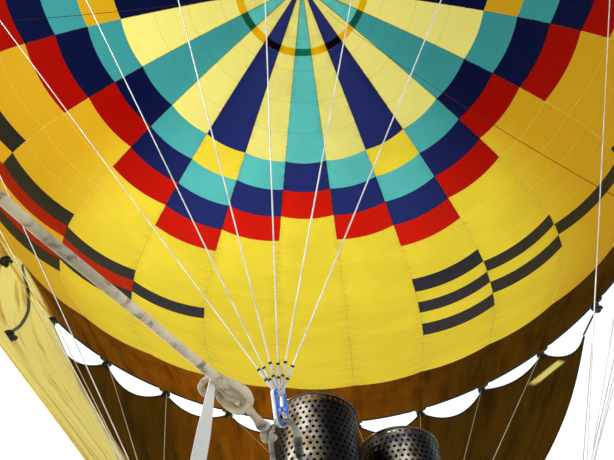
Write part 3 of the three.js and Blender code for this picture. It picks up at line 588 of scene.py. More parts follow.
# Painted sunlight: on the sunny side the hem takes the sunlit cloth in place of its black binding.
hem_painted_sunlight = np.repeat(painted_sunlight_at(skirt_azimuths), hem_sides)
hem = make_piece("skirt_hem_binding", *tube(skirt_points[-1], 0.007, hem_sides, True),
                 point_values={"painted_sunlight": hem_painted_sunlight}, face_slots=hem_painted_sunlight > 0.5)
dress(hem, "balloon", binding, brown_cloth, slot="line")


def together(shapes):
    """Several shapes as one: their points in a row, and their faces gathered by number of corners."""
    points, faces, count = [], {}, 0
    for shape_points, shape_faces in shapes:
        for block in shape_faces:
            faces.setdefault(block.shape[1], []).append(block + count)
        points.append(shape_points)
        count += len(shape_points)
    return np.concatenate(points), [np.concatenate(blocks) for blocks in faces.values()]


def trefoil(centre, size, thickness, count=48, sides=8):
    """A knot: radius (2 + cos 3a), turned by 2a, height sin 3a, scaled to size."""
    a = 2 * np.pi * np.arange(count) / count
    wide = size * (2 + np.cos(3 * a)) / 3
    path = np.stack([wide * np.cos(2 * a), wide * np.sin(2 * a), size * np.sin(3 * a) * 0.8], -1)
    return tube(path + np.asarray(centre), thickness, sides, True)


mouth_loops = on_envelope(mouth_s(seam_azimuths), seam_azimuths)
knots = together([trefoil(p - [0, 0, 0.016], 0.026, 0.015) for p in mouth_loops])
dress(make_piece("mouth_knots", *knots), "balloon", binding, slot="line")

# Rig places: burner frame and basket are square with each other, turned 32 degrees and hung off the axis.
# Each corner carries a lug, a carabiner, a plate and six wires, all on the line of pull to its mouth loops.
rig_turn = np.radians(32)
rig_shift = np.array([0.031, -0.050, 0.0])
frame_half_x, frame_half_y = 0.441, 0.293
lug_height = 2.026
corner_plan = {"far": (1, 1, -1.5), "right": (1, -1, 4.5), "near": (-1, -1, 10.5), "left": (-1, 1, -7.5)}
wires_per_corner = 6


def from_rig(points):
    """Points given square with the rig, turned about the vertical and shifted to their place."""
    points = np.asarray(points, float)
    x = points[..., 0] * np.cos(rig_turn) - points[..., 1] * np.sin(rig_turn)
    y = points[..., 0] * np.sin(rig_turn) + points[..., 1] * np.cos(rig_turn)
    return np.stack([x, y, points[..., 2]], -1) + rig_shift


def unit(vector):
    """A vector of length 1."""
    return vector / np.linalg.norm(vector)


plate_turn = np.radians(-30)
corners = {}
for name, (x_side, y_side, first) in corner_plan.items():
    loop_turns = 15 * (first + np.arange(wires_per_corner))
    loops = on_envelope(mouth_s(loop_turns), loop_turns)
    lug = from_rig([x_side * frame_half_x, y_side * frame_half_y, lug_height])
    pull = unit(on_envelope(1.0, loop_turns).mean(0) - lug)
    across = unit(np.cross([0, 0, 1], pull))
    depth = np.cross(pull, across)
    plate_normal = across * np.cos(plate_turn) + depth * np.sin(plate_turn)
    corners[name] = {"lug": lug, "pull": pull, "across": across, "depth": depth, "normal": plate_normal,
                     "plate_depth": np.cross(pull, plate_normal), "loops": loops}


def at_corner(corner, along, across, depth):
    """A point by its distances along the pull, across it and square with both, from the lug's hole."""
    return corner["lug"] + corner["pull"] * along + corner["across"] * across + corner["depth"] * depth


def at_plate(corner, along, across, depth):
    """The same, square with the plate."""
    return corner["lug"] + corner["pull"] * along + corner["normal"] * across + corner["plate_depth"] * depth


# Scoop: a sheet of the skirt's cloth hung from twelve loops on one side, to catch the wind.
# Its bound hem sags between the loops, and its foot is gathered in beside the burner frame.
scoop_first, scoop_last, scoop_crease = -6.5, 4.5, -4.5
scoop_foot_height, scoop_foot_start = 2.12, 0.04
scoop_foot_out = {"left": 0.100, "far": 0.135}
scoop_sags = np.array([30, 30, 155, 130, 100, 110, 110, 120, 130, 70, 90]) / 1000
scoop_strap_hold = np.array([-0.098, 0.193, -0.114])
scoop_columns_per_span, scoop_rows = 18, 41
spans = int(scoop_last - scoop_first)
scoop_t = np.linspace(0, 1, spans * scoop_columns_per_span + 1)
scoop_seam = scoop_first + scoop_t * spans


def eased(points, steps=8):
    """A smooth line through points: on each span, the cubic that leaves each point parallel to its neighbours."""
    points = np.asarray(points, float)
    p = np.concatenate([points[:1], points, points[-1:]])[:, None]
    f = np.linspace(0, 1, steps, endpoint=False)[None, :, None]
    a, b, c, d = p[:-3], p[1:-2], p[2:-1], p[3:]
    spans = 0.5 * (2 * b + (c - a) * f + (2 * a - 5 * b + 4 * c - d) * f ** 2 + (3 * b - a - 3 * c + d) * f ** 3)
    return np.concatenate([spans.reshape(-1, 3), points[-1:]])


def scoop_foot(name):
    """The end of the foot at a corner: 0.15 m up the pull, at foot height, and outwards from there."""
    point = at_corner(corners[name], 0.15, 0, 0)
    point[2] = scoop_foot_height
    return point + unit(corners[name]["pull"] * [1, 1, 0]) * scoop_foot_out[name]


from_seam = np.abs(2 * (scoop_seam + 0.5 - np.round(scoop_seam + 0.5)))
lapped = 1 - ramp_up(scoop_seam, scoop_crease - 0.10, scoop_crease)
tucked = lapped * (0.05 + scallop * gore_length * (1 - (1 - from_seam) ** 14))
head = on_envelope(mouth_s(15 * scoop_seam) - tucked / gore_length, 15 * scoop_seam)
outward = np.stack([np.sin(np.radians(15 * scoop_seam)), np.cos(np.radians(15 * scoop_seam)), 0 * scoop_seam], -1)
head = head + outward * (0.010 - 0.005 * lapped)[:, None]
span_sags = scoop_sags[np.minimum((scoop_t * spans + 1e-6).astype(int), spans - 1)]
head[:, 2] -= 0.0005 + span_sags * (1 - lapped) * (1 - (1 - from_seam) ** 2)
head += scoop_strap_hold * np.clip(scoop_seam - scoop_last + 1, 0, 1)[:, None]
foot_share = (scoop_foot_start + scoop_t * (1 - scoop_foot_start))[:, None]
foot = scoop_foot("left") * (1 - foot_share) + scoop_foot("far") * foot_share
v = np.linspace(0, 1, scoop_rows)[:, None]
wing = np.clip((scoop_seam - scoop_first) / (scoop_crease - scoop_first), 0, 1)
past = np.clip((scoop_seam - scoop_crease) / 1.5, 0, 1)
beyond = np.clip((scoop_seam - scoop_crease) / (scoop_last - scoop_crease), 0, 1)
bulge = (0.050 + (0.160 - 0.120 * beyond) * past ** 2 * (3 - 2 * past)
         + 0.350 * (1 - v) ** 1.2 * np.cos(np.pi / 2 * wing))
bulge = bulge * np.sin(np.pi * v)
pleats = (0.030 * (0.5 + 0.5 * np.cos(2 * np.pi * scoop_seam[None, :] + 3.14))
          + 0.016 * (0.5 + 0.5 * np.cos(2 * np.pi * (2.37 * scoop_seam[None, :] + 0.8 * v)))
          + 0.010 * (0.5 + 0.5 * np.cos(2 * np.pi * (4.1 * scoop_seam[None, :] - 0.5 * v))))
from_crease = np.clip(np.abs(scoop_seam - scoop_crease) / 0.3, 0, 1)
pleats = pleats * np.sin(np.pi * np.clip(v * 1.15, 0, 1)) ** 0.7 * from_crease
scoop_points = (head[None] * (1 - v[..., None]) + foot[None] * v[..., None]
                + outward[None] * (bulge + pleats)[..., None])
# Painted light coming through the scoop, by seam.
scoop_glow = np.interp(15 * scoop_seam, [-68, -50, -38, -26, -14, 0, 12, 30],
                       [0, 0.04, 0.10, 0.45, 0.80, 0.70, 0.25, 0.04])
# Painted sunlight on the scoop's wing, up to the crease.
scoop_painted_sunlight = 1 - np.clip((scoop_seam - scoop_crease) / 0.08 + 0.5, 0, 1)
over_scoop = {"painted_sunlight": scoop_painted_sunlight[None, :], "glow": scoop_glow[None, :],
              "across": scoop_seam[None, :] * loop_spacing, "down": v * 2.6}
# The painted streak of sunlight lies where the cloth meets a plane in space, so the pleats don't break it.
streak_middle = np.array([1.680, 1.302, 3.876])
streak_way, streak_side = np.array([-0.835, 0.386, -0.392]), np.array([0.523, 0.336, -0.783])
over_scoop["streak_across"] = 1 + (scoop_points - streak_middle) @ streak_side
over_scoop["streak_along"] = 1 + (scoop_points - streak_middle) @ streak_way
over_scoop = {label: np.broadcast_to(values, scoop_points.shape[:2]) for label, values in over_scoop.items()}
scoop = make_piece("scoop_cloth", scoop_points, [grid_faces(scoop_rows, len(scoop_t))], point_values=over_scoop)
dress(scoop, "balloon", brown_cloth, slot="scoop_fabric", replaces=("scoop",))
crease_column = int(round((scoop_crease - scoop_first) * scoop_columns_per_span))
edges = {"left": (np.r_[scoop_rows - 1:0:-1, np.zeros(crease_column, int)],
                  np.r_[np.zeros(scoop_rows - 1, int), 0:crease_column]),
         "right": (np.arange(scoop_rows), np.full(scoop_rows, len(scoop_t) - 1))}
# The edge hems carry the scoop's painted glow and painted sunlight.
for label, (i, j) in edges.items():
    values = {name: np.repeat(grid[i, j], hem_sides) for name, grid in over_scoop.items()}
    edge_hem = make_piece("scoop_hem_" + label, *tube(scoop_points[i, j], 0.0035, hem_sides), point_values=values)
    dress(edge_hem, "balloon", brown_cloth, slot="scoop_fabric")
dress(make_piece("scoop_binding", *tube(scoop_points[0, crease_column:], 0.008, 8)), "balloon", binding, slot="line")
strap = hung(scoop_points[0, -1] + [0, 0, 0.01], mouth_loops[4] - [0, 0, 0.02], 0.0, 8)
dress(make_piece("scoop_strap", *tube(strap, 0.006, 8)), "balloon", binding, slot="line")
tie_places = np.array([on_envelope(0.952, -69.4), on_envelope(0.972, -72.0), on_envelope(0.992, -74.6),
                       *scoop_points[[2, 7, 12, 16, 18], [28, 27, 24, 19, 17]]])
tie_places -= 0.010 * tie_places * [1, 1, 0] / np.linalg.norm(tie_places[:, :2], axis=1, keepdims=True)
tie = together([tube(eased(tie_places), 0.010, 8), trefoil(tie_places[-1], 0.030, 0.014)])
dress(make_piece("scoop_tie", *tie), "balloon", binding, slot="line")

# Flying wires: six stainless wires to a corner, from the mouth loops to the plate.
# Each ends in an eye through the plate's slot, closed by two crimped sleeves with black ends.
wire_radius, sleeve_radius, wire_pitch = 0.0020, 0.0042, 0.0028
plate_hole, slot_reach, slot_round = 0.1265, 0.050, 0.0085
slot_top = plate_hole + slot_reach + slot_round
sleeve_spans = ((0.014, 0.039), (0.046, 0.070))
wire_steel = metal("wire_steel", colour("#F2F0EA"), 0.35, metallic=0.35)
crimp_steel = metal("crimp_aluminium", colour("#E6E4DE"), 0.3, metallic=0.6)
crimp_black = webbing("crimp_sleeve_end", colour("#17161A"), 1500.0)
for name, corner in corners.items():
    order = np.argsort(corner["loops"] @ corner["normal"])
    shapes, sleeves, ends = [], [], []
    for place, index in enumerate(order):
        out = unit(corner["loops"][index] * [1, 1, 0])
        loop = corner["loops"][index] - 0.005 * out + [0, 0, 0.0028]
        sideways = (place - (wires_per_corner - 1) / 2) * wire_pitch
        bridge = at_plate(corner, slot_top - 0.0035 - 0.005 * (place % 2), 0, sideways)
        lead = unit(loop - bridge)
        start = bridge + lead * sleeve_spans[0][0]
        shapes.append(tube(np.stack([start, loop]), wire_radius, 8))
        normal = corner["normal"]
        eye_t = np.linspace(-np.pi, np.pi, 25)
        eye = (bridge + lead * (sleeve_spans[0][0] * (0.5 - 0.5 * np.cos(eye_t))[:, None])
               + normal * (0.0070 * np.sin(eye_t) * (1 + 0.55 * np.cos(eye_t)))[:, None])
        shapes.append(tube(eye, wire_radius, 8))
        for low, high in sleeve_spans:
            sleeves.append(tube(bridge + lead * np.array([[low], [high]]), sleeve_radius, 10))
            ends.append(tube(bridge + lead * np.array([[high - 0.001], [high + 0.004]]), sleeve_radius * 1.15, 10))
    wires = make_piece("wires_" + name, *together(shapes), sharp=50)
    dress(wires, "balloon", wire_steel, slot="flying_wire", replaces=("flying_wires_" + name,))
    for label, parts, finish in (("wire_sleeves_", sleeves, crimp_steel), ("wire_sleeve_ends_", ends, crimp_black)):
        dress(make_piece(label + name, *together(parts), sharp=50), "balloon", finish, slot="flying_wire")

# Corner plates and carabiners: a plate of blue anodised aluminium, with a painted highlight on its edges, gathers six
# wires.
# It hangs in a forged steel carabiner with a screw sleeve, which hooks the frame's lug.
plate_blue = metal("plate_blue_anodised", colour("#1E6FE0"), 0.35, colour("#1A5CC4"), 40.0, metallic=0.35)
plate_edge_highlight = metal("plate_edge_painted_highlight", colour("#F4F2EC"), 0.3, metallic=0.6)
carabiner_steel = metal("carabiner_steel", colour("#A6A89E"), 0.22, colour("#34352C"), 22.0)
plate_half_thick, plate_round = 0.0055, 0.0014
carabiner_half_wide, carabiner_half_long, carabiner_round, carabiner_seat = 0.031, 0.059, 0.006, 0.0028


def arc(centre, radius, start, end, count=9):
    """Points of a circle between two angles in degrees."""
    turn = np.radians(np.linspace(start, end, count))
    return np.stack([centre[0] + radius * np.cos(turn), centre[1] + radius * np.sin(turn)], -1)


plate_cuts = [
    np.concatenate([arc((0, 0), 0.0200, 90, 270, 15), arc((0.0575, -0.0125), 0.0085, 270, 360),
                    arc((0.0575, 0.0125), 0.0085, 0, 90)]),
    arc((0, 0), 0.0120, 0, 345, 24),
    np.concatenate([arc((0.0300, 0), 0.0055, 90, 270), arc((0.0500, 0), 0.0085, 270, 450)]),
    arc((0.0185, -0.0085), 0.0022, 0, 330, 12), arc((0.0185, 0.0085), 0.0022, 0, 330, 12),
]
cut = bpy.data.curves.new("plate_cut", "CURVE")
cut.dimensions, cut.fill_mode, cut.extrude = "2D", "BOTH", plate_half_thick - plate_round
cut.bevel_depth, cut.bevel_resolution, cut.offset = plate_round, 1, -plate_round
for outline in plate_cuts:
    spline = cut.splines.new("POLY")
    spline.points.add(len(outline) - 1)
    spline.points.foreach_set("co", np.column_stack([outline, np.zeros(len(outline)), np.ones(len(outline))]).ravel())
    spline.use_cyclic_u = True
flat_plate = bpy.data.meshes.new_from_object(bpy.data.objects.new("plate_cut", cut))
for name, corner in corners.items():
    plate = bpy.data.objects.new("plate_" + name, flat_plate.copy())
    bpy.context.scene.collection.objects.link(plate)
    lie = placed(corner["pull"], corner["plate_depth"], -corner["normal"], at_plate(corner, plate_hole, 0, 0))
    shape = bmesh.new()
    shape.from_mesh(plate.data)
    bmesh.ops.transform(shape, matrix=lie, verts=shape.verts)
    bmesh.ops.remove_doubles(shape, verts=shape.verts, dist=0.00002)
    bmesh.ops.recalc_face_normals(shape, faces=shape.faces)
    shape.to_mesh(plate.data)
    shape.free()
    facing = np.empty(3 * len(plate.data.polygons))
    plate.data.polygons.foreach_get("normal", facing)
    # Painted highlight: the plate's edge faces take a near-white finish.
    on_edge = np.abs(facing.reshape(-1, 3) @ corner["normal"]) < 0.98
    dress(plate, "balloon", plate_blue, plate_edge_highlight, slot="corner_plate", replaces=("corner_plate_" + name,))
    plate.data.polygons.foreach_set("material_index", on_edge.astype(np.int32))

    turn = 2 * np.pi * np.arange(64) / 64
    straight = carabiner_half_long - carabiner_half_wide
    middle = carabiner_seat + carabiner_half_long
    along = middle + carabiner_half_wide * np.sin(turn) + np.sign(np.sin(turn)) * straight
    oval = (corner["lug"] + corner["pull"] * along[:, None]
            + corner["across"] * (carabiner_half_wide * np.cos(turn))[:, None])
    nut = [at_corner(corner, middle + h, carabiner_half_wide, 0) for h in (-0.019, -0.017, 0.017, 0.019)]
    nut_shape = tube(nut, [0.0075, 0.0095, 0.0095, 0.0075], 12)
    rings = [tube([at_corner(corner, middle + h + end, carabiner_half_wide, 0) for end in (-0.001, 0.001)], 0.0102, 12)
             for h in (-0.012, -0.004, 0.004, 0.012)]
    bar = tube(oval, carabiner_round, 16, True)
    link = make_piece("carabiner_link_" + name, *together([bar, nut_shape, *rings]), sharp=40)
    dress(link, "balloon", carabiner_steel, slot="carabiner", replaces=("carabiner_" + name,))

# Crown line: a thick cream tubular line, hitched beside the near carabiner and knotted just outside it.
# It runs slack out to the widest part of the envelope, then over the cloth to the crown ring.
crown_seam, crown_lift, leave_at, heading = -9.5, 0.020, 0.46, np.radians(210)
crown_radius = 0.0085
knot_place = np.array([-0.288, -0.775, 2.083])
near = corners["near"]
beside = -(carabiner_half_wide + carabiner_round + 0.0003 + crown_radius)
away = np.array([np.sin(heading), np.cos(heading), 0.0])
leave = on_envelope(leave_at, 15 * crown_seam, 1.0, crown_lift)
t = np.linspace(0, 1, 60)[:, None]
slack = ((1 - t) ** 3 * knot_place + 3 * (1 - t) ** 2 * t * (knot_place + away * 4.6 - [0, 0, 0.89])
         + 3 * (1 - t) * t ** 2 * (leave - [0, 0, 6.5]) + t ** 3 * leave)
over_top = on_envelope(np.linspace(leave_at, 0.0077, 60)[1:], 15 * crown_seam, 1.0, crown_lift)
arch = carabiner_seat + 2 * carabiner_half_long - carabiner_half_wide
hitch = [at_corner(near, arch - beside * np.sin(a), beside * np.cos(a), 0) for a in np.radians([0, 12, 24, 36])]
through_knot = knot_place + np.array([[0.052, 0.060, -0.050], [0.022, 0.036, -0.022], [-0.004, 0.014, -0.006]])
round_bar = beside + carabiner_half_wide
half_turn = [at_corner(near, arch, -carabiner_half_wide - round_bar * np.cos(a), round_bar * np.sin(a))
             for a in np.linspace(1.72 * np.pi, 1.15 * np.pi, 5)]
tied = eased(np.concatenate([half_turn, hitch[1:]]), 4)
line_path = np.concatenate([tied, through_knot, slack[1:], over_top])
line_radius = np.full(len(line_path), crown_radius)
line_radius[:len(tied)] = np.interp(np.arange(len(tied)), [0, 1, 3, len(tied) - 1], [0.004, 0.007, 0.0085, 0.0100])
line_radius[len(tied):len(tied) + 3] = [0.0112, 0.0112, 0.0100]


def rope(name, tint):
    """Worn tubular webbing: a tint with dark dirt in long twisted streaks, fuzz in the bump, and sheen."""
    material, tree = blank_material(name)
    dirt = noise(tree, 30.0, 5.0, (1.0, 1.6, 1.6))
    patch = noise(tree, 7.0, 3.0)
    coat = blend_colour(tree, ramp(tree, patch, 0.35, 0.65), tint, shade(tint, 0.55))
    coat = blend_colour(tree, ramp(tree, dirt, 0.50, 0.68, 0.0, 0.75), coat, colour("#5A4630"))
    fuzz = noise(tree, 420.0, 3.0)
    rough = bump(tree, fuzz, 0.4, 0.0008, bump(tree, dirt, 0.8, 0.0045))
    surface(tree, coat, 0.85, Normal=rough, Sheen_Weight=0.4)
    return material


cream_line = rope("cream_line", colour("#E8DAB6"))
knot_turns = np.array([
    [-50, -23, 14], [-24, -17, 1], [0, -14, -8], [22, -1, -16], [31, 18, -23], [22, 37, -27], [5, 45, -28],
    [-14, 44, -18], [-31, 34, -6], [-38, 18, 1], [-49, 16, -10], [-61, 8, -11], [-67, -4, -6], [-60, -14, 0],
    [-47, -17, 4], [-36, -9, 3], [-27, 12, -2], [-11, 22, -14], [11, 23, -28]]) / 1000
knot_path = eased(knot_place + knot_turns, 10)
crown_shapes = [tube(line_path, line_radius, 12),
                tube(knot_path, np.linspace(crown_radius, 0.0060, len(knot_path)), 10)]
dress(make_piece("crown_line_rope", *together(crown_shapes)), "balloon", cream_line, slot="line",
      replaces=("crown_line",))

# Tail of the crown line: a length of white flat webbing.
# It is caught in the knot at its upper end, hangs free, and turns slowly as it hangs.
tail_length, tail_thick = 0.42, 0.0012
tail_t = np.linspace(0, 1, 40)[:, None]
tail_top = knot_place + [-0.040, -0.028, 0.004]
tail_middle = tail_top + tail_t * [0.010, -0.030, -tail_length] + np.sin(5 * tail_t) * [0.0, 0.006, 0.0]
tail_turn = 1.25 - 1.15 * np.sqrt(tail_t[:, 0])
tail_half = np.interp(tail_t[:, 0], [0, 0.3, 1], [0.007, 0.013, 0.014])
tail_side = np.stack([np.cos(tail_turn), np.sin(tail_turn), 0 * tail_turn], -1) * tail_half[:, None]
tail_face = np.cross(tail_side, [0, 0, 1.0])
tail_face = tail_face / np.linalg.norm(tail_face, axis=1, keepdims=True) * tail_thick
tail_ring = np.stack([tail_middle - tail_side - tail_face, tail_middle + tail_side - tail_face,
                      tail_middle + tail_side + tail_face, tail_middle - tail_side + tail_face], 1)
tail_faces = [grid_faces(40, 4, False, True), np.array([[3, 2, 1, 0], [156, 157, 158, 159]])]
white_tape = webbing("white_tape", colour("#F6F4EE"), 900.0, 0.2)
tail = make_piece("crown_line_tail", tail_ring.reshape(-1, 3), tail_faces, sharp=40)
dress(tail, "balloon", white_tape, slot="line")

# Burner: two perforated steel cans on a block that tilts in a gimbal, in a frame of round tube.
# The cans are rolled from sheet with staggered round holes, a plain shield inside and a rolled rim.
# The heat has coloured them.
can_radius, can_wall, can_bottom, can_top, can_apart = 0.139, 0.002, 2.190, 2.462, 0.354
holes_round, hole_rows, hole_radius, shield_radius = 44, 14, 0.0056, 0.126


def lathe(profile, centre, sides=32):
    """A profile of radius and height turned about an upright axis through centre. Radius 0 closes it to a point."""
    profile = np.asarray(profile, float)
    turn = 2 * np.pi * np.arange(sides) / sides
    x, y = profile[:, :1] * np.cos(turn), profile[:, :1] * np.sin(turn)
    z = np.broadcast_to(profile[:, 1:], x.shape)
    points = np.stack([x, y, z], -1).reshape(-1, 3) + np.asarray(centre)
    faces = grid_faces(len(profile), sides, False, True)[:, ::-1]
    return welded(points, faces)


def welded(points, quads):
    """Points nearer than a hundredth of a millimetre made one, and quads that lose a corner made triangles."""
    _, first, index = np.unique(np.round(points, 5), axis=0, return_index=True, return_inverse=True)
    quads = index.reshape(-1)[quads]
    doubled = quads == np.roll(quads, -1, 1)
    count = doubled.sum(1)
    triangles = quads[count == 1][~doubled[count == 1]].reshape(-1, 3)
    return points[first], [f for f in (quads[count == 0], triangles) if len(f)]


def perforated_wall(radius, wall, low, high, columns, rows, hole):
    """Cells of a staggered pattern: eight border points joined with eight points of a hole, on two layers."""
    width, height = 2 * np.pi / columns, (high - low) / rows
    turn = np.radians(np.arange(8) * 45 - 135)
    border = np.array([[-1, -1], [0, -1], [1, -1], [1, 0], [1, 1], [0, 1], [-1, 1], [-1, 0]]) / 2.0
    middle_u = (np.arange(columns)[None, :] + 0.5 * (np.arange(rows) % 2)[:, None]) * width
    middle_h = np.broadcast_to((low + (np.arange(rows) + 0.5) * height)[:, None], middle_u.shape)
    middle_u, middle_h = middle_u[..., None], middle_h[..., None]
    u = np.stack([middle_u + border[:, 0] * width, middle_u + hole / radius * np.cos(turn)], -2)
    h = np.stack([middle_h + border[:, 1] * height, middle_h + hole * np.sin(turn)], -2)
    layers = [np.stack([r * np.cos(u), r * np.sin(u), h], -1) for r in (radius, radius - wall)]
    points = np.stack(layers, 2)
    cells = rows * columns
    k, n = np.arange(8), (np.arange(8) + 1) % 8
    outer = np.stack([k, n, 8 + n, 8 + k], -1)
    inner = np.stack([16 + k, 24 + k, 24 + n, 16 + n], -1)
    lip = np.stack([8 + k, 8 + n, 24 + n, 24 + k], -1)
    quads = np.concatenate([outer, inner, lip])
    quads = (quads[None] + 32 * np.arange(cells)[:, None, None]).reshape(-1, 4)
    edges = []
    points = points.reshape(-1, 3)
    first = (np.arange(columns) * 32)[:, None]
    for base, order in ((first, (0, 1, 2)), (first + 32 * columns * (rows - 1), (6, 5, 4))):
        for a, b in zip(order[:-1], order[1:]):
            edges.append(np.concatenate([base + a, base + 16 + a, base + 16 + b, base + b], 1))
    edges = [*edges[:2], *(edge[:, ::-1] for edge in edges[2:])]
    return welded(points, np.concatenate([quads, *edges]))


def round_of_sheet(radius, low, high, centre, sides):
    """A plain round of sheet: a rectangle can_wall thick turned about an upright axis."""
    inner = radius - can_wall
    return lathe([(inner, low), (radius, low), (radius, high), (inner, high), (inner, low)], centre, sides)


def heated_steel(name):
    """Black scaled steel with a painted highlight, pale where its painted highlight attribute is 1, with straw and
    faint violet heat colours.
    """
    material, tree = blank_material(name)
    wear_and_highlight = attribute(tree, "wear_and_highlight")
    heat = noise(tree, 11.0, 4.0)
    scale = blend_colour(tree, ramp(tree, heat, 0.35, 0.6), colour("#0D0C0C"), colour("#1E1916"))
    painted_light = blend_colour(tree, ramp(tree, heat, 0.40, 0.60), colour("#F8EEDC"), colour("#CDB48C"))
    painted_light = blend_colour(tree, ramp(tree, noise(tree, 17.0, 3.0), 0.55, 0.70), painted_light, colour("#8A7F92"))
    # Painted highlight: a pale band on the can's front, broken up by noise.
    patchy = math(tree, "MULTIPLY", wear_and_highlight, ramp(tree, noise(tree, 38.0, 3.0), 0.30, 0.60, 0.35, 1.0))
    coat = blend_colour(tree, patchy, scale, painted_light)
    rough = ramp(tree, noise(tree, 40.0, 3.0), 0.3, 0.7, 0.26, 0.42)
    surface(tree, coat, rough, Metallic=0.9)
    return material


can_steel = heated_steel("heated_can_steel")
rim_steel = metal("can_rim_steel", colour("#6A6058"), 0.25, colour("#3A3230"))
coil_steel = metal("coil_steel", colour("#8A7A6A"), 0.35, colour("#4A4458"), 24.0)
highlight_width = 14
turns, coil_radius, coil_tube, coil_low, coil_rise = 6, 0.104, 0.0075, 2.248, 0.144
for number, side, highlight_at in ((1, -1, -104.0), (2, 1, -96.0)):
    centre = from_rig([side * can_apart / 2, 0, 0])
    band_low = round_of_sheet(can_radius, can_bottom + 0.001, can_bottom + 0.012, centre, 88)
    wall_points, wall_faces = perforated_wall(can_radius, can_wall, can_bottom + 0.012, can_top - 0.008,
                                              holes_round, hole_rows, hole_radius)
    shield = round_of_sheet(shield_radius, can_bottom + 0.002, can_top - 0.012, centre, 48)
    can_points, can_faces = together([(wall_points + centre, wall_faces), band_low, shield])
    around = np.degrees(np.arctan2(can_points[:, 1] - centre[1], can_points[:, 0] - centre[0]))
    on_wall = np.linalg.norm(can_points[:, :2] - centre[:2], axis=1) > shield_radius + 0.003
    # Painted highlight: a band on the wall, about 14 degrees wide, centred on each can's front.
    wear_and_highlight = on_wall * np.exp(-(turn_from(around, highlight_at) / highlight_width) ** 2)
    can = make_piece(f"can_{number}_wall", can_points, can_faces, sharp=40, point_values={"wear_and_highlight": wear_and_highlight})
    dress(can, "burner", can_steel, slot="burner_can", replaces=(f"burner_can_{number}",))
    rim = tube(circle(can_radius - 0.0005, can_top - 0.004, centre[:2], 88), 0.0042, 12, True)
    dress(make_piece(f"can_{number}_rim", *rim), "burner", rim_steel, slot="burner_can")
    a = np.linspace(0, 2 * np.pi * turns, 40 * turns)
    helix = np.stack([coil_radius * np.cos(a), coil_radius * np.sin(a), coil_low + coil_rise * a / a[-1]], -1) + centre
    legs = [[[coil_radius * np.cos(g), coil_radius * np.sin(g), h] for h in (can_bottom, 2.25)]
            for g in np.radians([0, 120, 240])]
    legs = [tube(centre + np.array(leg), 0.007, 10) for leg in legs]
    coil = make_piece(f"coil_{number}_tube", *together([tube(helix, coil_tube, 10), *legs]), sharp=50)
    dress(coil, "burner", coil_steel, slot="burner_coil", replaces=(f"burner_coil_{number}",))

# Small controls: a steel lever with a red grip on each valve body under the block, two to a can.
# A brass pressure gauge is screwed in beside them. None of them moves on its own.


def suede(name, tint):
    """Suede: a tint with worn lighter patches, a short nap in the bump, and sheen."""
    material, tree = blank_material(name)
    wear_and_highlight = ramp(tree, noise(tree, 7.0, 4.0), 0.4, 0.75)
    coat = blend_colour(tree, wear_and_highlight, tint, tuple(min(1.0, 1.5 * c) for c in tint[:3]) + (1.0,))
    nap = bump(tree, noise(tree, 400.0, 2.0), 0.3, 0.001)
    surface(tree, coat, 0.95, Normal=nap, Sheen_Weight=0.4, Specular_IOR_Level=0.1)
    return material


lever_height, lever_shapes, grip_shapes, gauge_shapes = 1.985, [], [], []
grip_radius = np.interp(np.arange(13), [0, 1, 6, 11, 12], [0.005, 0.0078, 0.0088, 0.0078, 0.004])
for can_side in (-1, 1):
    for y_side in (-1, 1):
        x = can_side * can_apart / 2
        bend = np.array([[x, y_side * 0.045, lever_height],
                         [x + 0.010, y_side * 0.075, lever_height - 0.004],
                         [x + 0.030, y_side * 0.100, lever_height - 0.016],
                         [x + 0.060, y_side * 0.112, lever_height - 0.030],
                         [x + 0.110, y_side * 0.116, lever_height - 0.040]])
        bend = eased(from_rig(bend), 6)
        lever_shapes.append(tube(bend, 0.0040, 8))
        grip_shapes.append(tube(bend[-len(grip_radius):], grip_radius, 12))
    dial = [(0.0, 0.0), (0.019, 0.0), (0.021, 0.002), (0.021, 0.014), (0.018, 0.016), (0.017, 0.013), (0.0, 0.013)]
    points, faces = lathe(dial, (0.0, 0.0, 0.0), 28)
    points = np.stack([points[:, 0], -points[:, 2], points[:, 1]], -1)
    gauge_shapes.append((from_rig(points + [can_side * can_apart / 2, -0.052, lever_height + 0.040]), faces))
lever_steel = metal("lever_steel", colour("#B8BABC"), 0.3)
grip_plastic = suede("red_grip", colour("#B41E14"))
gauge_brass = metal("gauge_brass", colour("#D2B46A"), 0.28, colour("#8C7440"))
for label, parts, sharp, finish in (("valve_levers", lever_shapes, 50, lever_steel),
                                    ("valve_grips", grip_shapes, 50, grip_plastic),
                                    ("pressure_gauges", gauge_shapes, 35, gauge_brass)):
    dress(make_piece(label, *together(parts), sharp=sharp), "burner", finish, slot="burner_block")

# Burner frame, gimbal and block: a frame and a gimbal of welded steel tube, and a dark cast block between them.
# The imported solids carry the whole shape, so they only get their finish.
frame_steel = metal("frame_brushed_steel", colour("#C4C6C8"), 0.32)
block_metal = metal("burner_block_metal", colour("#55565A"), 0.45, colour("#3A3A3E"))


def refinish(node, finish):
    """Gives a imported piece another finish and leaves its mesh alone."""
    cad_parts[node].data.materials.clear()
    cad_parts[node].data.materials.append(finish)


refinish("burner_frame", frame_steel)
refinish("gimbal_frame", frame_steel)
refinish("burner_block", block_metal)

# Basket: varnished willow and cane on a board floor, a suede-covered padded rim, and four padded uprights.
# Four fuel cylinders of brushed aluminium stand in its corners.
basket_half_x, basket_half_y, basket_corner = 0.820, 0.600, 0.130
wall_low, wall_high, wall_thick = 0.0783, 1.105, 0.030
stakes, weavers = 104, 44


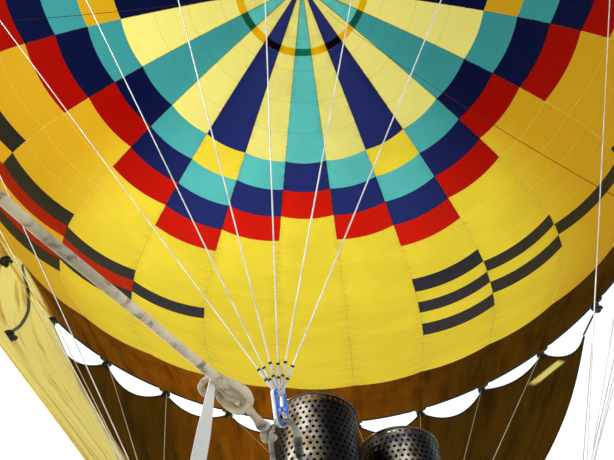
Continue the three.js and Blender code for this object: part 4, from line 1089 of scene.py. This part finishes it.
def rounded_box(half_x, half_y, radius, count):
    """Points evenly spaced round a rectangle with round corners, and their outward directions."""
    quarter = np.pi * radius / 2
    lengths = [2 * (half_y - radius), quarter, 2 * (half_x - radius), quarter] * 2
    ends = np.concatenate([[0], np.cumsum(lengths)])
    s = np.arange(count) * ends[-1] / count
    part = np.searchsorted(ends, s, side="right") - 1
    share = (s - ends[part]) / np.asarray(lengths)[part]
    start = np.array([[half_x, radius - half_y], [half_x - radius, half_y - radius],
                      [half_x - radius, half_y], [radius - half_x, half_y - radius],
                      [-half_x, half_y - radius], [radius - half_x, radius - half_y],
                      [radius - half_x, -half_y], [half_x - radius, radius - half_y]])[part]
    along = np.array([[0, 1], [0, 0], [-1, 0], [0, 0], [0, -1], [0, 0], [1, 0], [0, 0]])[part]
    bend = part % 2 == 1
    angle = np.radians(90) * ((part // 2) + np.where(bend, share, 0.0))
    out = np.stack([np.cos(angle), np.sin(angle)], -1)
    place = np.where(bend[:, None], start + radius * out, start + along * (share * np.asarray(lengths)[part])[:, None])
    return place, out


def round_basket(inset, count):
    """The basket's outline and its outward directions, set in all round by inset."""
    return rounded_box(basket_half_x - inset, basket_half_y - inset, basket_corner - inset, count)


wall_columns, wall_rows = stakes * 4, weavers * 3
weave_depth, weave_inset = 0.0055, 0.012
place, out = round_basket(weave_inset, wall_columns)
height = np.linspace(wall_low, wall_high, wall_rows + 1)
phase = np.pi * np.arange(wall_columns) / 4
row = np.arange(wall_rows + 1)
over_under = np.sin(phase[None, :] + np.pi * np.floor(row / 3)[:, None])
weave = weave_depth * over_under * (0.4 + 0.6 * np.sin(np.pi * (row % 3 + 0.5) / 3))[:, None]
wall_points = np.empty((wall_rows + 1, wall_columns, 3))
wall_points[..., :2] = place[None] + out[None] * weave[..., None]
wall_points[..., 2] = height[:, None]
wall_quads = grid_faces(wall_rows + 1, wall_columns, False, True)
flat_points = wall_points.reshape(-1, 3)
middle = flat_points[wall_quads].mean(1)
foot_hole_x, foot_hole_z = 0.40, 0.40
in_hole = ((np.abs(np.abs(middle[:, 0]) - foot_hole_x) < 0.095) & (np.abs(middle[:, 2] - foot_hole_z) < 0.070)
           & (np.abs(middle[:, 1]) > 0.5))


def cane(name, tint):
    """Varnished cane: a tint with painted shade between the strands, darker where the weave lies deeper, and streaks
    along them.
    """
    material, tree = blank_material(name)
    strand = noise(tree, 60.0, 3.0, (0.25, 0.25, 1.0))
    patch = noise(tree, 5.0, 4.0)
    proud = attribute(tree, "proud")
    coat = blend_colour(tree, ramp(tree, strand, 0.35, 0.65, 0.0, 0.7), tint, shade(tint, 0.6))
    coat = blend_colour(tree, ramp(tree, patch, 0.4, 0.7, 0.0, 0.35), coat, colour("#8A5A2C"))
    # Painted shade: darker where the weave sinks between the strands.
    coat = blend_colour(tree, ramp(tree, proud, -0.55, 0.25, 0.85, 0.0), coat, colour("#2E1A0A"))
    surface(tree, coat, 0.45, Normal=bump(tree, strand, 0.5, 0.002), Coat_Weight=0.3)
    return material


wicker = cane("varnished_cane", colour("#C48C4C"))
wall = make_piece("basket_weave", from_rig(flat_points), [wall_quads[~in_hole]],
                  point_values={"proud": weave / weave_depth})
dress(wall, "balloon", wicker, slot="wicker", replaces=("basket_wall",))
refinish("basket_floor", cane("floor_board", colour("#9A6C3C")))


# Basket trim: a suede band guards the wall's foot, and suede binds the edge of each foot hole.
# Rope handles hang on the four sides, with their ends woven into the wall.
brown_suede = suede("brown_suede", colour("#7A4C2C"))
band_columns = 240
band_place, band_out = round_basket(0.006, band_columns)
band_profile = np.array([[-0.004, 0.0790], [0.004, 0.0800], [0.006, 0.0900], [0.007, 0.1500], [0.006, 0.1960],
                         [0.002, 0.2010], [-0.010, 0.2000], [-0.010, 0.0800]])
band_points = np.empty((band_columns, len(band_profile), 3))
band_points[..., :2] = band_place[:, None] + band_out[:, None] * band_profile[None, :, :1]
band_points[..., 2] = band_profile[None, :, 1]
band_faces = grid_faces(band_columns, len(band_profile), True, True)[:, ::-1]
band = make_piece("basket_foot_band", from_rig(band_points.reshape(-1, 3)), [band_faces], sharp=50)
dress(band, "balloon", brown_suede, slot="padding")
hole_place = rounded_box(0.098, 0.072, 0.025, 64)[0]
hole_rings, handles = [], []
for x_side, y_side in ((1, 1), (1, -1), (-1, -1), (-1, 1)):
    ring = np.stack([x_side * foot_hole_x + hole_place[:, 0], np.full(64, y_side * (basket_half_y - 0.010)),
                     foot_hole_z + hole_place[:, 1]], -1)
    hole_rings.append(tube(from_rig(ring), 0.012, 10, True))
bindings = make_piece("basket_hole_bindings", *together(hole_rings))
dress(bindings, "balloon", brown_suede, slot="padding")
handle_turn = np.linspace(0, np.pi, 33)
for turned_by, reach in zip((0.0, 90.0, 180.0, 270.0), (basket_half_y, basket_half_x) * 2):
    loop = np.stack([0.16 * np.cos(handle_turn), -(reach - 0.006 + 0.032 * np.sin(handle_turn) ** 0.5),
                     0.78 - 0.10 * np.sin(handle_turn)], -1)
    c, s = np.cos(np.radians(turned_by)), np.sin(np.radians(turned_by))
    loop = np.stack([c * loop[:, 0] - s * loop[:, 1], s * loop[:, 0] + c * loop[:, 1], loop[:, 2]], -1)
    handles.append(tube(from_rig(loop), 0.011, 10))
dress(make_piece("basket_rope_handles", *together(handles)), "balloon", cream_line, slot="line")

# Rim and uprights: the rim is padded and covered in suede, and a cord laced over it pulls the cover in.
# The uprights are padded sleeves of the same suede round the rods that carry the burner frame.
rim_columns, rim_sides, lacings, rim_height = 480, 24, 60, 1.1205
rim_place, rim_out = round_basket(wall_thick / 2, rim_columns)
angle = np.linspace(0, 2 * np.pi, rim_sides, endpoint=False)


def rim_section(angle):
    """The rim's section: 0.041 wide as cos to the power 0.8, 0.058 high above its middle and 0.014 below it."""
    across = 0.041 * np.sign(np.cos(angle)) * np.abs(np.cos(angle)) ** 0.8
    return across, np.where(np.sin(angle) < 0, 0.014, 0.058) * np.sin(angle)


from_lace = (lacings * np.arange(rim_columns)[:, None] / rim_columns - angle[None, :] / (2 * np.pi) + 0.5) % 1 - 0.5
swell = 1.02 - 0.11 * np.exp(-(from_lace / 0.13) ** 2)
across_rim, up_rim = rim_section(angle)
rim_points = np.empty((rim_columns, rim_sides, 3))
rim_points[..., :2] = rim_place[:, None] + rim_out[:, None] * (across_rim[None, :] * swell)[..., None]
rim_points[..., 2] = rim_height + up_rim[None, :] * swell
rim = make_piece("basket_rim_padding", from_rig(rim_points.reshape(-1, 3)),
                 [grid_faces(rim_columns, rim_sides, True, True)])
dress(rim, "balloon", brown_suede, slot="padding", replaces=("basket_rim",))


def swell_cover(piece, held, furthest):
    """Lets the cloth solver blow up a closed cover for 16 frames, then keeps each point's move under furthest.

    The points where held is true stay where they are.
    """
    mesh = piece.data
    before = np.empty(3 * len(mesh.vertices), np.float32)
    mesh.vertices.foreach_get("co", before)
    kept = piece.vertex_groups.new(name="held")
    kept.add(np.flatnonzero(held).tolist(), 1.0, "ADD")
    cover = piece.modifiers.new("cover", "CLOTH")
    cover.settings.vertex_group_mass = "held"
    cover.settings.use_pressure = True
    cover.settings.uniform_pressure_force = 4.0
    cover.settings.effector_weights.gravity = 0.0
    cover.collision_settings.use_collision = False
    cover.point_cache.frame_start, cover.point_cache.frame_end = 1, 16
    for step in range(1, 17):
        bpy.context.scene.frame_set(step)
    swelled = piece.evaluated_get(bpy.context.evaluated_depsgraph_get()).to_mesh()
    after = np.empty_like(before)
    swelled.vertices.foreach_get("co", after)
    piece.modifiers.remove(cover)
    piece.vertex_groups.remove(kept)
    bpy.context.scene.frame_set(1)
    move = (after - before).reshape(-1, 3)
    far = np.linalg.norm(move, axis=1, keepdims=True)
    move *= np.minimum(1.0, furthest / np.maximum(far, 1e-9))
    mesh.vertices.foreach_set("co", before + move.ravel())
    mesh.update()


under_lace = (np.abs(from_lace) < 0.10) | (np.sin(angle) < -0.5)[None, :]
swell_cover(rim, under_lace.ravel(), 0.006)
lace_count = lacings * 24
lace_place, lace_out = round_basket(wall_thick / 2, lace_count)
lace_across, lace_up = rim_section(2 * np.pi * lacings * np.arange(lace_count) / lace_count)
lace_in = 0.96
lace = np.column_stack([lace_place + lace_out * (lace_across * lace_in)[:, None], rim_height + lace_up * lace_in])
dress(make_piece("basket_rim_lace", *tube(from_rig(lace), 0.0030, 6, True)), "balloon", cream_line, slot="line")

# Sleeves and fuel cylinders: one of each to a corner of the basket.
# The cylinders are spun from brushed aluminium, with round shoulders, and stand on the floor.
brushed = metal("cylinder_aluminium", colour("#C9CCCE"), 0.35)
sleeve_rings, sleeve_sides = 60, 20
for name, (x_side, y_side, _) in corner_plan.items():
    foot = np.array([x_side * 0.805, y_side * 0.430, 1.1796])
    head_end = np.array([x_side * (frame_half_x - 0.015), y_side * (frame_half_y - 0.015), 1.9267])
    t = np.linspace(0, 1, sleeve_rings)
    thickness = np.interp(t, [0, 0.03, 0.12, 0.9, 0.97, 1], [0.031, 0.034, 0.034, 0.027, 0.027, 0.024])
    thickness = thickness * (1 + 0.03 * np.cos(2 * np.pi * 9 * t))
    sleeve_shape = tube(from_rig(foot + (head_end - foot) * t[:, None]), thickness, sleeve_sides)
    sleeve = make_piece("upright_sleeve_" + name, *sleeve_shape, sharp=60)
    dress(sleeve, "balloon", brown_suede, slot="padding", replaces=("upright_" + name,))
    tied_rings = (np.arange(sleeve_rings) % 7 == 0) | (t < 0.05) | (t > 0.95)
    swell_cover(sleeve, np.repeat(tied_rings, sleeve_sides), 0.004)
    x, y = x_side * 0.62, y_side * 0.40
    body = [(0.0, 0.079), (0.11, 0.079), (0.138, 0.086), (0.15, 0.105), (0.152, 0.13), (0.152, 0.79),
            (0.148, 0.83), (0.13, 0.86), (0.09, 0.873), (0.05, 0.876), (0.0, 0.877)]
    cylinder = make_piece("cylinder_" + name, *lathe(body, from_rig([x, y, 0.0]), 40), sharp=40)
    dress(cylinder, "balloon", brushed, slot="cylinder", replaces=("fuel_cylinder_" + name,))

# Ground and light: a plain pale floor under a soft pale sky, brighter on one side and near the ground.
# A low warm sun from the left lights the cloth through and from outside.
floor_half = 150.0
floor_corners = floor_half * np.array([[-1, -1, 0], [1, -1, 0], [1, 1, 0], [-1, 1, 0]])
floor = make_piece("floor", floor_corners, [np.array([[0, 1, 2, 3]])])
floor.location.z = -0.002
pale, tree = blank_material("pale_floor")
surface(tree, (0.78, 0.78, 0.77, 1), 0.9)
floor.data.materials.append(pale)

world = bpy.data.worlds.new("pale_world")
bpy.context.scene.world = world
world.use_nodes = True
world.node_tree.nodes.clear()
sky = world.node_tree
way = put(sky, "ShaderNodeTexCoord").outputs["Generated"]
sunward = put(sky, "ShaderNodeVectorMath", {0: way, 1: (-0.50, 0.866, 0.0)}, operation="DOT_PRODUCT").outputs["Value"]
height = put(sky, "ShaderNodeSeparateXYZ", {0: way}).outputs["Z"]
low = math(sky, "POWER", math(sky, "SUBTRACT", 1.0, math(sky, "MAXIMUM", height, 0.0)), 2.0)
glow = math(sky, "MULTIPLY", math(sky, "ADD", 0.95, math(sky, "MULTIPLY", low, 1.0)),
            math(sky, "ADD", 1.0, math(sky, "MULTIPLY", sunward, 0.40)))
put(sky, "ShaderNodeOutputWorld", {0: put(sky, "ShaderNodeBackground", {0: (0.84, 0.90, 0.97, 1), 1: glow}).outputs[0]})
sun = bpy.data.objects.new("sun", bpy.data.lights.new("sun", "SUN"))
sun.data.energy = 1.6
sun.data.angle = np.radians(2)
sun.data.color = (1.0, 0.95, 0.86)
bpy.context.scene.collection.objects.link(sun)
sun_azimuth, sun_height = np.radians(-105), np.radians(28)
to_sun = np.array([np.sin(sun_azimuth) * np.cos(sun_height), np.cos(sun_azimuth) * np.cos(sun_height),
                   np.sin(sun_height)])
across_sun = unit(np.cross([0, 0, 1], to_sun))
sun.matrix_world = placed(across_sun, np.cross(to_sun, across_sun), to_sun)
bpy.context.scene.view_settings.view_transform = "Standard"
